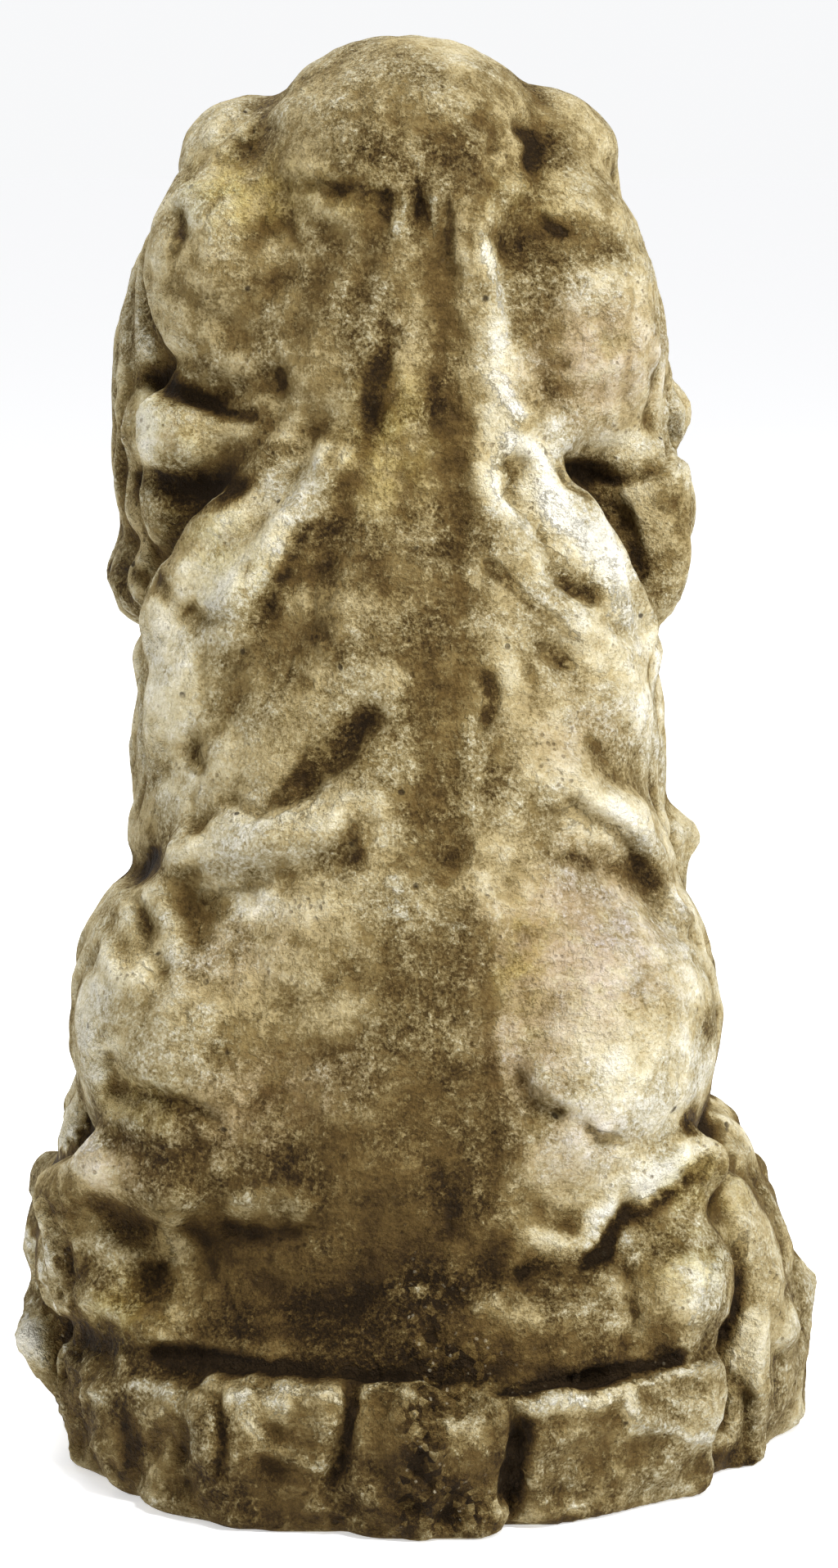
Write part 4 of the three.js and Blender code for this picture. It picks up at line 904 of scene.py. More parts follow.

# Stain and wear on the back, and painted shade in its darkest gaps: (across, down, half width, half height,
# tilt, tone, how much of it)
WASHES = [
    # Broad tones from the crown to the ground
    (510, 150, 210, 130, 0, 0.48, 0.9), (500, 420, 330, 190, 0, 0.51, 0.9),
    (500, 800, 330, 230, 0, 0.57, 0.9), (500, 1150, 420, 230, 0, 0.64, 0.9),
    (700, 500, 160, 260, 0, 0.66, 0.8), (740, 900, 130, 260, 0, 0.68, 0.8),
    (740, 1260, 150, 220, 0, 0.72, 0.8), (420, 1520, 330, 160, 0, 0.30, 0.95),
    (420, 1760, 420, 130, 0, 0.25, 0.95), (880, 1500, 150, 140, 0, 0.56, 0.9),
    # The head
    (530, 120, 130, 70, 0, 0.44, 0.8), (500, 195, 120, 50, 0, 0.38, 0.8), (580, 250, 40, 50, 0, 0.4, 0.7),
    (440, 250, 50, 60, 0, 0.44, 0.6), (410, 100, 60, 40, -30, 0.54, 0.6), (560, 70, 60, 24, 10, 0.7, 0.6),
    (290, 240, 60, 50, 0, 0.62, 0.8), (250, 350, 70, 34, -10, 0.46, 0.8), (225, 425, 60, 24, 20, 0.42, 0.8),
    (400, 300, 60, 50, 0, 0.52, 0.7), (516, 262, 100, 46, 0, 0.33, 0.9), (650, 178, 24, 34, 0, 0.24, 0.9),
    (606, 200, 18, 26, 0, 0.4, 0.8), (676, 276, 40, 24, 20, 0.42, 0.7), (640, 260, 60, 50, 0, 0.5, 0.6),
    (730, 380, 84, 80, 0, 0.56, 0.9), (730, 480, 90, 60, 0, 0.68, 0.8), (760, 300, 50, 50, 0, 0.6, 0.6),
    (220, 290, 14, 34, 10, 0.3, 0.8), (840, 500, 26, 36, 0, 0.52, 0.8),
    # The spine and the crest beside it
    (470, 470, 26, 66, 12, 0.42, 0.8), (646, 540, 40, 50, -40, 0.9, 0.9), (480, 580, 44, 50, 0, 0.6, 0.8),
    (430, 640, 40, 90, 20, 0.48, 0.8), (470, 740, 40, 90, 0, 0.46, 0.7),
    # The ears, with near-black washes under their folds and lobes that are painted shadow
    (250, 492, 80, 18, 14, 0.12, 0.95), (186, 530, 12, 40, 0, 0.84, 0.9), (250, 535, 56, 28, 6, 0.56, 0.9),
    (250, 606, 70, 26, 4, 0.12, 0.95), (210, 656, 56, 26, 14, 0.4, 0.9), (176, 716, 50, 20, 36, 0.14, 0.9),
    (150, 740, 24, 28, 20, 0.4, 0.8), (150, 560, 16, 70, 0, 0.34, 0.8), (160, 400, 24, 80, 0, 0.6, 0.7),
    (760, 586, 70, 18, 4, 0.3, 0.9), (770, 640, 50, 50, 0, 0.44, 0.9), (824, 690, 40, 70, 0, 0.44, 0.9),
    (850, 590, 24, 60, 0, 0.6, 0.8),
    # The shoulders
    (300, 640, 50, 100, 34, 0.78, 0.9), (250, 720, 34, 70, 24, 0.88, 0.9), (356, 680, 34, 60, 34, 0.4, 0.9),
    (400, 560, 30, 50, 30, 0.7, 0.8), (650, 600, 40, 60, -30, 0.88, 0.9),
    (720, 670, 36, 80, -36, 0.92, 0.9), (680, 710, 34, 24, 30, 0.46, 0.8),
    (640, 700, 40, 50, -30, 0.6, 0.7), (780, 780, 40, 40, 0, 0.84, 0.8),
    # The ribs and flanks
    (200, 850, 50, 110, 0, 0.72, 0.9), (340, 780, 80, 50, -10, 0.5, 0.8),
    (330, 880, 90, 60, -20, 0.56, 0.8), (260, 900, 30, 60, 20, 0.66, 0.6),
    (414, 924, 66, 34, -38, 0.4, 0.8), (428, 1022, 20, 24, 0, 0.4, 0.7),
    (350, 1000, 70, 26, -20, 0.72, 0.8), (700, 880, 90, 80, 0, 0.66, 0.9), (640, 950, 60, 50, 0, 0.56, 0.8),
    (812, 880, 20, 120, 0, 0.86, 0.9), (716, 1052, 46, 18, 8, 0.42, 0.9),
    (790, 1070, 26, 60, -34, 0.4, 0.8), (770, 960, 44, 30, 20, 0.56, 0.7), (850, 1030, 24, 40, 0, 0.6, 0.8),
    # The thighs
    (196, 1080, 40, 60, 0, 0.46, 0.8), (236, 1086, 16, 34, 0, 0.32, 0.8),
    (130, 1180, 34, 100, 0, 0.62, 0.8), (230, 1210, 110, 90, -20, 0.66, 0.9),
    (330, 1120, 90, 50, -24, 0.6, 0.8), (450, 1200, 100, 80, 0, 0.5, 0.9),
    (540, 1190, 60, 70, 0, 0.36, 0.9), (500, 1330, 110, 110, 0, 0.36, 0.95),
    (320, 1330, 110, 70, -30, 0.44, 0.8), (570, 1400, 60, 110, 0, 0.32, 0.9),
    (690, 1130, 100, 90, 0, 0.74, 0.9), (720, 1220, 100, 90, 0, 0.7, 0.9),
    (660, 1330, 44, 30, 30, 0.5, 0.8), (800, 1310, 80, 90, 20, 0.92, 0.95),
    (700, 1420, 80, 60, 0, 0.72, 0.95), (640, 1460, 40, 60, 0, 0.66, 0.8), (772, 1462, 20, 26, 0, 0.5, 0.7),
    (630, 1150, 30, 70, 0, 0.52, 0.7),
    # Low on the rump
    (140, 1330, 50, 40, 20, 0.5, 0.8), (140, 1410, 60, 44, 0, 0.54, 0.9), (130, 1480, 60, 30, 20, 0.3, 0.9),
    (190, 1530, 34, 60, 0, 0.3, 0.8), (230, 1430, 34, 60, 0, 0.4, 0.8), (330, 1470, 46, 24, 0, 0.46, 0.9),
    (400, 1590, 200, 70, 0, 0.2, 0.95), (130, 1580, 60, 30, 40, 0.42, 0.8),
    (240, 1628, 90, 14, 12, 0.36, 0.7), (520, 1580, 44, 40, 0, 0.16, 0.9),
    (660, 1590, 100, 60, 0, 0.46, 0.9), (700, 1600, 60, 34, 10, 0.56, 0.8),
    (780, 1500, 40, 30, -40, 0.4, 0.8), (836, 1560, 50, 70, 0, 0.52, 0.9),
    (872, 1560, 16, 60, 0, 0.86, 0.9), (770, 1600, 14, 50, 8, 0.3, 0.8), (912, 1510, 34, 70, 0, 0.5, 0.9),
    (900, 1610, 22, 50, 10, 0.2, 0.9), (880, 1400, 60, 44, 0, 0.5, 0.8),
    # The rubble; the near-black washes along its foot are painted shade, and those along the groove under the
    # coat and in the splits are partly stain and partly painted shade
    (60, 1520, 60, 90, 0, 0.34, 0.9), (60, 1620, 50, 70, 0, 0.38, 0.9), (190, 1760, 60, 60, 0, 0.37, 0.9),
    (345, 1750, 80, 60, 0, 0.34, 0.9), (470, 1760, 50, 70, 0, 0.33, 0.9), (550, 1760, 50, 110, 0, 0.3, 0.9),
    (576, 1770, 26, 60, 0, 0.42, 0.9), (770, 1760, 140, 80, 0, 0.42, 0.95),
    (960, 1660, 60, 120, 0, 0.64, 0.95), (380, 1624, 190, 26, 4, 0.24, 0.9),
    (320, 1668, 130, 12, 6, 0.12, 0.9), (710, 1682, 120, 12, -4, 0.1, 0.9),
    (148, 1756, 16, 60, 0, 0.1, 0.8), (626, 1770, 14, 70, 0, 0.08, 0.9), (480, 1868, 420, 24, 0, 0.08, 0.8),
    # Corrections over the rest, written from the differences in tone that a comparison showed
    # Among these, the near-black spots where the left ear meets the shoulder and along the foot of the rubble
    # are painted shade, and those along the groove under the coat partly stain and partly painted shade
    (320, 575, 50, 46, 0, 0.32, 0.8), (216, 738, 26, 40, 0, 0.14, 1), (285, 612, 40, 32, 0, 0.12, 0.9),
    (460, 672, 44, 56, 0, 0.32, 0.8), (700, 305, 60, 36, 0, 0.34, 0.8), (765, 250, 40, 40, 0, 0.4, 0.8),
    (588, 250, 26, 50, 0, 0.32, 0.8), (285, 432, 40, 26, 0, 0.4, 0.7), (280, 1390, 50, 34, 0, 0.36, 0.8),
    (220, 1212, 40, 36, 0, 0.46, 0.8), (200, 1452, 60, 30, 0, 0.36, 0.8), (645, 1030, 40, 30, 0, 0.46, 0.7),
    (285, 1808, 40, 30, 0, 0.16, 0.8), (690, 1585, 90, 40, 0, 0.38, 0.8), (760, 1290, 80, 70, 0, 0.66, 0.7),
    (652, 470, 20, 30, 0, 0.42, 0.8), (652, 380, 30, 60, 0, 0.46, 0.7), (750, 556, 60, 18, 0, 0.8, 0.8),
    (705, 975, 44, 30, 0, 0.48, 0.7), (655, 1290, 60, 60, 0, 0.56, 0.7),
    (740, 1474, 60, 36, -20, 0.82, 0.8), (820, 1400, 40, 30, -30, 0.8, 0.8),
    (905, 1780, 50, 60, 0, 0.46, 0.8), (230, 1574, 40, 26, 0, 0.42, 0.7), (100, 1390, 40, 30, 0, 0.6, 0.7),
    (550, 215, 70, 50, 0, 0.36, 0.7), (36, 1570, 30, 100, 0, 0.56, 0.8), (800, 1852, 70, 12, -8, 0.8, 0.8),
    (216, 690, 30, 60, 20, 0.4, 0.8), (280, 1090, 44, 36, -20, 0.84, 0.8), (764, 550, 50, 30, 0, 0.94, 0.8),
    (640, 492, 22, 28, 0, 0.5, 0.7), (334, 552, 26, 26, 0, 0.44, 0.7), (400, 252, 34, 30, 0, 0.36, 0.8),
    (580, 252, 30, 36, 0, 0.26, 0.8), (222, 250, 26, 40, 0, 0.78, 0.8), (345, 308, 34, 30, 0, 0.66, 0.8),
    (190, 430, 36, 24, 10, 0.58, 0.7), (285, 486, 26, 14, 10, 0.4, 0.7), (400, 490, 30, 26, 0, 0.64, 0.7),
    (250, 972, 44, 30, 0, 0.74, 0.7), (818, 612, 26, 30, 0, 0.3, 0.8), (98, 1300, 30, 110, 0, 0.72, 0.8),
    (820, 1388, 36, 26, -20, 0.92, 0.8), (190, 1536, 44, 40, 0, 0.5, 0.8), (40, 1570, 26, 80, 0, 0.72, 0.8),
    (700, 1506, 80, 20, -8, 0.8, 0.8), (740, 1600, 90, 30, 0, 0.4, 0.6), (818, 1632, 36, 26, 0, 0.36, 0.8),
    (940, 1748, 40, 44, 0, 0.4, 0.8), (880, 1806, 40, 36, 0, 0.26, 0.8), (712, 660, 30, 80, -38, 0.97, 0.8),
    (650, 590, 24, 40, -30, 0.95, 0.8), (340, 1750, 60, 44, 0, 0.36, 0.8),
    (200, 1770, 36, 40, 0, 0.46, 0.8), (700, 1775, 36, 50, 0, 0.46, 0.8), (820, 1740, 60, 36, 0, 0.52, 0.8),
    (576, 1740, 20, 44, 0, 0.56, 0.8), (820, 1450, 30, 22, -20, 0.9, 0.8),
    (760, 1512, 30, 16, -30, 0.86, 0.8), (762, 1578, 40, 24, 0, 0.6, 0.8),
    (762, 1630, 40, 20, 0, 0.56, 0.8), (570, 1030, 36, 26, 0, 0.56, 0.8),
    (755, 1030, 40, 24, 30, 0.66, 0.8), (825, 1092, 24, 24, 0, 0.7, 0.8), (280, 1092, 40, 30, 0, 0.9, 0.8),
    (560, 1150, 50, 26, 0, 0.5, 0.7), (220, 1520, 36, 60, 0, 0.46, 0.7), (640, 430, 20, 30, 0, 0.72, 0.7),
    (190, 440, 40, 20, 0, 0.66, 0.7), (212, 795, 30, 40, 0, 0.86, 0.8), (460, 125, 40, 30, 0, 0.52, 0.6),
    (460, 68, 36, 20, 0, 0.62, 0.7), (290, 1800, 50, 30, 0, 0.2, 0.6), (720, 1868, 90, 20, -6, 0.02, 0.8),
    (700, 1740, 40, 30, 0, 0.36, 0.6), (222, 738, 24, 26, 0, 0.08, 1), (222, 674, 22, 26, 20, 0.34, 0.8),
    (345, 550, 34, 26, 0, 0.3, 0.8), (400, 548, 26, 24, 0, 0.5, 0.8), (640, 496, 16, 26, 0, 0.46, 0.8),
    (760, 736, 20, 40, -30, 0.8, 0.8), (640, 850, 30, 30, 0, 0.46, 0.8), (730, 968, 50, 24, 0, 0.48, 0.8),
    (580, 1034, 34, 34, 0, 0.72, 0.9), (730, 1034, 60, 22, 20, 0.78, 0.8),
    (824, 1092, 24, 26, 0, 0.84, 0.9), (280, 1092, 34, 26, 0, 0.98, 0.8), (580, 1150, 36, 30, 0, 0.6, 0.8),
    (345, 1210, 44, 26, -10, 0.46, 0.8), (790, 1240, 50, 50, 0, 0.6, 0.7), (98, 1330, 28, 80, 0, 0.84, 0.8),
    (340, 1392, 34, 26, 0, 0.56, 0.8), (640, 1332, 22, 30, 0, 0.66, 0.8), (704, 1330, 26, 26, 0, 0.56, 0.8),
    (700, 1450, 30, 26, 0, 0.62, 0.8), (822, 1452, 26, 26, 0, 1.08, 0.9), (762, 1512, 30, 22, 0, 1.06, 0.9),
    (90, 1510, 50, 26, 0, 0.6, 0.8), (222, 1540, 30, 60, 0, 0.6, 0.8), (284, 1576, 34, 24, 0, 0.42, 0.8),
    (310, 1632, 60, 18, 4, 0.18, 0.8), (645, 1634, 34, 24, 0, 0.28, 0.8), (370, 1692, 60, 16, 0, 0.26, 0.7),
    (582, 1690, 26, 22, 0, 0.5, 0.8), (582, 1752, 22, 30, 0, 0.36, 0.8), (884, 1810, 36, 30, 0, 0.16, 0.9),
    (944, 1750, 36, 30, 0, 0.36, 0.8), (220, 735, 22, 34, 0, 0.02, 1), (340, 552, 30, 22, 0, 0.24, 0.8),
    (640, 498, 14, 24, 0, 0.36, 0.8), (762, 1516, 34, 26, 0, 1.1, 1), (822, 1452, 30, 26, 0, 1.1, 1),
    (680, 730, 24, 24, 0, 0.76, 0.8), (760, 745, 14, 40, -30, 0.66, 0.8), (400, 912, 20, 16, 0, 0.5, 0.5),
    (282, 492, 24, 14, 0, 0.44, 0.7), (520, 200, 40, 30, 0, 0.28, 0.7), (520, 430, 30, 30, 0, 0.3, 0.7),
    (520, 550, 34, 40, 0, 0.32, 0.7), (580, 740, 26, 34, 0, 0.34, 0.7), (520, 1212, 50, 50, 0, 0.46, 0.7),
    (220, 970, 22, 40, 0, 0.84, 0.7), (300, 970, 40, 16, 0, 0.7, 0.7), (400, 972, 20, 20, 0, 0.52, 0.6),
    (760, 930, 40, 50, 0, 0.6, 0.6), (760, 790, 30, 20, 0, 0.76, 0.6), (884, 1812, 30, 30, 0, 0.08, 0.8),
    (100, 1340, 20, 60, 0, 0.62, 0.6), (100, 1240, 20, 60, 0, 0.9, 0.8), (470, 1510, 120, 50, 0, 0.4, 0.5),
    (300, 1570, 60, 30, 0, 0.5, 0.7), (820, 1632, 30, 20, 0, 0.26, 0.8), (34, 1640, 20, 40, 0, 0.8, 0.8),
    (320, 1484, 60, 34, 0, 0.52, 0.8), (222, 732, 20, 30, 0, -0.1, 1), (340, 1020, 60, 20, -10, 0.56, 0.7),
    (640, 492, 14, 24, 0, 0.3, 0.8), (340, 1635, 60, 16, 4, 0.1, 0.7), (400, 545, 26, 24, 0, 0.42, 0.7),
    (220, 1450, 30, 20, 0, 0.3, 0.8), (100, 1392, 30, 20, 0, 0.96, 0.8), (40, 1512, 20, 30, 0, 0.9, 0.8),
    (220, 1512, 30, 30, 0, 0.7, 0.7), (700, 1512, 30, 20, 0, 0.56, 0.7), (820, 1572, 26, 26, 0, 0.4, 0.7),
    (880, 1632, 22, 20, 0, 0.5, 0.7), (762, 1632, 30, 16, 0, 0.74, 0.7), (730, 1690, 110, 14, -4, 0.3, 0.5),
]

# Streaks of stain and wear, and near-black lines along the groove under the coat and the splits of the rubble
# that are partly stain and partly painted shade: (places, half width, tone, how much of it)
STREAKS = [
    (((506, 250), (514, 340), (530, 440), (540, 520)), 44, 0.4, 0.75),
    (((530, 520), (532, 620), (532, 720), (530, 800)), 60, 0.42, 0.75),
    (((530, 740), (536, 860), (542, 960), (528, 1040)), 46, 0.37, 0.75),
    (((470, 400), (468, 460), (456, 520), (430, 580)), 16, 0.3, 0.8),
    (((400, 330), (380, 400), (330, 470)), 18, 0.42, 0.7),
    (((440, 620), (410, 700), (400, 790)), 18, 0.42, 0.7),
    (((590, 300), (598, 360), (608, 420), (624, 470), (640, 500)), 12, 0.78, 0.85),
    (((604, 500), (600, 560), (604, 620)), 18, 0.8, 0.8),
    (((382, 545), (310, 620), (240, 700), (205, 770)), 26, 0.84, 0.85),
    (((402, 604), (350, 650), (318, 720)), 12, 0.74, 0.8),
    (((390, 640), (352, 690), (330, 760)), 10, 0.34, 0.8),
    (((640, 660), (700, 760), (790, 800)), 10, 0.5, 0.6),
    (((575, 1120), (590, 1250), (585, 1400), (570, 1540)), 26, 0.34, 0.7),
    (((200, 1652), (320, 1668), (410, 1676), (500, 1672)), 10, 0.12, 0.9),
    (((612, 1694), (700, 1690), (780, 1680), (840, 1662)), 9, 0.04, 0.95),
    (((640, 1730), (636, 1768), (622, 1830)), 9, 0.06, 0.9),
    (((520, 1660), (530, 1740), (500, 1850)), 16, 0.26, 0.5),
    (((640, 1562), (664, 1548), (706, 1562), (748, 1546), (778, 1500), (828, 1470),
      (872, 1430)), 12, 0.24, 0.85),
    (((290, 1704), (340, 1694), (412, 1712)), 8, 0.54, 0.7),
    (((300, 1722), (330, 1764), (392, 1800)), 7, 0.5, 0.6),
    (((430, 1712), (414, 1764), (404, 1810)), 8, 0.12, 0.85),
    (((264, 1706), (276, 1764), (268, 1806)), 8, 0.14, 0.85),
    (((434, 1706), (470, 1694), (510, 1706)), 7, 0.62, 0.7),
    (((648, 1714), (740, 1698), (872, 1668)), 9, 0.58, 0.7),
    (((664, 1744), (700, 1776), (690, 1830)), 7, 0.58, 0.6),
    (((768, 1700), (800, 1742), (884, 1764)), 8, 0.66, 0.7),
    (((110, 1702), (160, 1694), (236, 1700)), 8, 0.58, 0.7),
    (((188, 1722), (204, 1708), (234, 1730), (240, 1780)), 7, 0.56, 0.6),
]

# Crisp dents, and raised scabs where the strength is below 0: (places, half width, strength)
MARKS = [
    (((452, 876), (428, 896), (412, 922)), 17, 1), (((416, 918), (390, 930), (372, 962)), 15, 1.1),
    (((372, 950), (360, 968), (366, 984)), 12, 1), (((291, 982), (325, 990), (360, 980)), 6, 0.9),
    (((424, 1000), (432, 1012), (430, 1030)), 8, 0.9), (((589, 838), (593, 862), (592, 888)), 8, 1),
    (((676, 792), (686, 802), (696, 812)), 9, 0.9), (((684, 996), (706, 1000), (728, 1010)), 9, 0.7),
    (((684, 1054), (706, 1054), (728, 1062)), 9, 0.8),
    (((756, 1022), (786, 1060), (812, 1096), (838, 1118)), 7, 0.9),
    (((250, 1094), (290, 1084), (331, 1070)), 6, 0.8), (((190, 1050), (172, 1090), (186, 1136)), 7, 0.9),
    (((123, 1286), (160, 1318), (205, 1330), (250, 1356)), 7, 0.9),
    (((658, 1334), (668, 1350), (686, 1362)), 8, 0.9), (((722, 1384), (736, 1396), (756, 1402)), 8, 0.9),
    (((191, 1649), (320, 1668), (410, 1678), (500, 1674)), 8, 0.7),
    (((618, 1690), (700, 1686), (780, 1674), (848, 1658)), 7, 0.9),
    (((632, 1722), (630, 1766), (620, 1822)), 9, 1.1), (((271, 1702), (276, 1760), (266, 1800)), 6, 0.8),
    (((440, 1702), (418, 1750), (404, 1800)), 6, 0.9), (((201, 1474), (206, 1520), (192, 1566)), 14, 0.7),
    (((640, 1552), (664, 1538), (706, 1552), (748, 1534), (776, 1486), (826, 1456), (866, 1416)), 8, 0.9),
    (((769, 1590), (780, 1606), (784, 1628)), 6, 0.9), (((909, 1508), (908, 1560), (886, 1630)), 9, 1),
    (((140, 1700), (150, 1750), (146, 1800)), 6, 0.8),
    (((388, 222), (410, 238), (432, 228), (462, 240)), 7, 0.6), (((468, 230), (466, 262)), 7, 0.9),
    (((500, 230), (504, 266)), 8, 0.9), (((545, 240), (550, 300)), 6, 0.7),
    (((650, 158), (658, 172), (654, 190)), 10, 0.8), (((604, 180), (608, 198), (622, 214)), 7, 0.9),
    (((218, 262), (222, 284), (216, 304)), 7, 0.9), (((333, 458), (336, 478)), 7, 0.9),
    (((476, 420), (466, 450)), 8, 0.8), (((466, 446), (456, 480), (452, 500)), 12, 0.9),
    (((183, 476), (240, 492), (300, 504)), 7, 1), (((182, 586), (240, 600), (300, 606)), 12, 0.8),
    (((366, 656), (352, 690), (336, 730)), 7, 0.9), (((392, 606), (372, 634), (350, 662)), 6, 0.8),
    (((621, 604), (630, 622), (640, 640)), 6, 0.9), (((662, 640), (676, 670), (690, 690)), 5, 0.8),
    (((598, 688), (640, 730), (680, 764), (716, 784)), 6, 0.9),
    (((690, 716), (706, 726), (726, 732)), 8, 0.9),
    (((662, 534), (706, 584), (760, 596), (812, 574)), 6, 0.9),
    (((782, 266), (790, 288), (796, 310)), 6, 0.8), (((664, 262), (676, 274), (690, 280)), 6, 0.8),
    (((228, 908), (226, 926), (238, 934)), 6, 0.8), (((330, 780), (300, 800), (280, 830)), 10, 0.6),
    (((400, 700), (392, 750), (380, 790)), 12, 0.6), (((484, 232), (484, 254), (479, 272)), 6, -0.9),
    (((524, 242), (525, 264), (520, 284)), 6, -0.9), (((590, 296), (598, 350), (606, 410)), 8, -0.7),
    (((614, 456), (628, 486), (640, 506)), 9, -0.7), (((606, 186), (618, 202), (634, 216)), 6, -0.7),
    (((300, 610), (268, 650)), 12, -0.6), (((664, 600), (700, 650)), 14, -0.6),
    (((730, 700), (768, 750)), 14, -0.6), (((620, 530), (606, 560), (612, 600)), 10, -0.8),
    (((298, 1700), (340, 1694), (410, 1712)), 5, -0.9), (((306, 1724), (332, 1764), (388, 1796)), 5, -0.8),
    (((330, 1712), (372, 1740), (396, 1746)), 4, -0.8), (((440, 1708), (470, 1696), (506, 1708)), 5, -0.8),
    (((652, 1718), (740, 1700), (868, 1670)), 6, -0.9), (((668, 1746), (700, 1776), (694, 1826)), 5, -0.7),
    (((768, 1702), (800, 1742), (880, 1762)), 5, -0.8), (((720, 1720), (748, 1752), (740, 1790)), 4, -0.7),
    (((112, 1704), (160, 1696), (232, 1702)), 5, -0.8),
    (((190, 1724), (206, 1710), (232, 1732), (238, 1778)), 4, -0.8), (((480, 1072), (490, 1078)), 8, -1),
    (((482, 1108), (492, 1114)), 9, -1), (((550, 1134), (558, 1142)), 8, -1),
    (((404, 604), (352, 648), (322, 700)), 5, -0.7), (((884, 1528), (880, 1580), (864, 1620)), 9, -0.8),
    (((120, 1400), (160, 1388), (192, 1410)), 14, -0.6),
    (((290, 1466), (330, 1452), (364, 1470)), 10, -0.6),
]

# Places where a deep hollow of the form is partly filled: (across, down, half width, half height, amount)
FILLS = [
    (250, 500, 90, 50, 0.8), (240, 600, 90, 50, 0.9), (190, 720, 70, 60, 0.8), (770, 610, 90, 50, 0.9),
    (820, 690, 60, 90, 0.7), (170, 1520, 80, 90, 1), (240, 1600, 90, 50, 0.9), (820, 1450, 110, 100, 0.9),
    (720, 1560, 150, 60, 0.8), (900, 1590, 60, 90, 0.8), (330, 1690, 220, 50, 0.9),
    (730, 1690, 200, 40, 0.8), (150, 1760, 40, 100, 0.8), (262, 1770, 40, 100, 1), (412, 1770, 40, 100, 1),
    (530, 1770, 50, 100, 0.6), (630, 1770, 30, 100, 0.4), (930, 1600, 80, 200, 1), (60, 1600, 80, 180, 0.9),
    (270, 1490, 110, 50, 0.5), (420, 925, 90, 60, 1), (592, 860, 30, 60, 0.8), (240, 1090, 50, 70, 0.7),
    (540, 600, 60, 160, 0.5),
]

# Tints: (across, down, half width, half height, tilt, strength)
OLIVE = [
    (290, 235, 70, 50, 0, 0.9), (480, 545, 60, 90, 0, 0.8), (430, 240, 60, 40, 0, 0.5),
    (640, 1170, 40, 80, 0, 1), (640, 240, 50, 40, 0, 0.5), (850, 1540, 50, 60, 0, 0.7),
    (150, 1600, 60, 50, 0, 0.9), (180, 1350, 60, 40, 0, 0.6), (210, 520, 60, 60, 0, 0.4),
    (860, 1440, 60, 40, 0, 0.7), (240, 640, 60, 40, 20, 0.5), (300, 700, 60, 60, 0, 0.4),
    (560, 1660, 60, 40, 0, 0.4),
]
LAVENDER = [
    (730, 430, 90, 80, 0, 0.8), (700, 1160, 110, 110, 0, 1), (640, 1300, 60, 60, 0, 0.7),
    (330, 1340, 110, 60, -20, 0.6), (150, 1420, 60, 40, 0, 0.6), (700, 900, 80, 60, 0, 0.4),
    (300, 1160, 90, 50, -30, 0.4), (800, 1852, 80, 14, -8, 1), (700, 1400, 70, 60, 0, 0.5),
]

# Rough places above the rubble: (across, down, half width, half height)
ROUGH = [(950, 1640, 90, 130), (60, 1560, 60, 120), (920, 1440, 50, 60), (80, 1380, 40, 40)]

# Crumbled patches: (across, down, half width, half height, strength)
CRUMBS = [
    (556, 1650, 56, 40, 1), (532, 1730, 36, 70, 1), (514, 1830, 40, 56, 1), (565, 1840, 40, 40, 1),
    (516, 1576, 44, 36, 0.9), (66, 1560, 40, 90, 0.7), (80, 1680, 30, 40, 0.6), (640, 1700, 30, 16, 0.6),
    (428, 1020, 24, 34, 0.5), (700, 716, 26, 18, 0.4), (840, 1664, 40, 16, 0.6),
]


def relief(points, sketch, stone):
    """How far each vertex stands out, in millimetres, and how crumbled it is."""
    cut_deeper = 1.4
    hole_depth = 1.2
    lift = np.zeros(len(points))
    for places, width, height in HEAD_LINES + EAR_LINES + SHOULDER_LINES + BACK_LINES + LOW_LINES:
        depth = height * (cut_deeper if height < 0 else 1)
        lift += depth * np.exp(-(sketch.from_path(places, CUT_SHAKE) / width) ** 2) * sketch.open
    for u, v, half, height in CHIPS:
        off = np.maximum(np.abs(sketch.u - u + 0.3 * (sketch.v - v)), np.abs(sketch.v - v))
        lift += height * (1 - ramp(off, half - 3, half + 5)) * sketch.open
    for u, v, radius in BUG_HOLES:
        off = (sketch.u - u) ** 2 + (sketch.v - v) ** 2
        lift -= hole_depth * np.exp(-off / (radius * 1.6) ** 2) * sketch.open
    crumb = sum(strength * sketch.spot(u, v, a, b, 0, ROUGH_SHAKE) for u, v, a, b, strength in CRUMBS)
    crumb = np.clip(crumb, 0, 1)

    # The coat: broad lumps, and shallow furrows that sweep down and outwards over ribs and thighs
    coat = 1 - stone
    side = np.tanh(points[:, 0] / 30)
    height = points[:, 2]
    sweep = np.stack([
        (side * points[:, 0] * 0.62 - height * 0.78) / 34,
        (side * points[:, 0] * 0.78 + height * 0.62) / 6.5,
        points[:, 1] / 16,
    ], 1)
    furrows = 0.8 * np.abs(layered(sweep, 1, 11, 2)) - 0.3
    lift += coat * furrows * ramp(noise(points, 38, 12), -0.4, 0.4)
    lift += coat * 0.75 * layered(points, 21, 21, 3)
    lift += coat * (0.7 * np.abs(noise(points, 9, 31)) + 0.35 * noise(points, 5, 32) - 0.3)
    # The rubble: hewn faces with sharp little steps, and crumbling
    hewn = layered(points, 15, 41, 4)
    steps = 1.9 * np.abs(noise(points, 9, 45)) + 0.9 * np.abs(noise(points, 5, 46))
    lift += stone * (2.2 * hewn - steps + 0.8)
    lift += crumb * (1.7 * noise(points, 5, 51) + 1.2 * noise(points, 3.1, 52) - 0.8)
    return lift, crumb


def filled(field):
    """The field with narrow hollows partly filled at some places on the back."""
    x, y, z = np.meshgrid(*AXES, indexing="ij")
    u, v = on_sketch(np.stack([x, y, z], -1))[:2]
    share = np.zeros(field.shape)
    for across, down, half_width, half_height, amount in FILLS:
        off = ((u - across) / half_width) ** 2 + ((v - down) / half_height) ** 2
        share = np.maximum(share, amount * np.exp(-off ** 2))
    share *= ramp(y, -20, 20)
    level = box_mean(box_mean(np.clip(field, -FILL_REACH, FILL_REACH), 2), 2)
    return field + share * np.minimum(level - field, 0) * (field > -1)


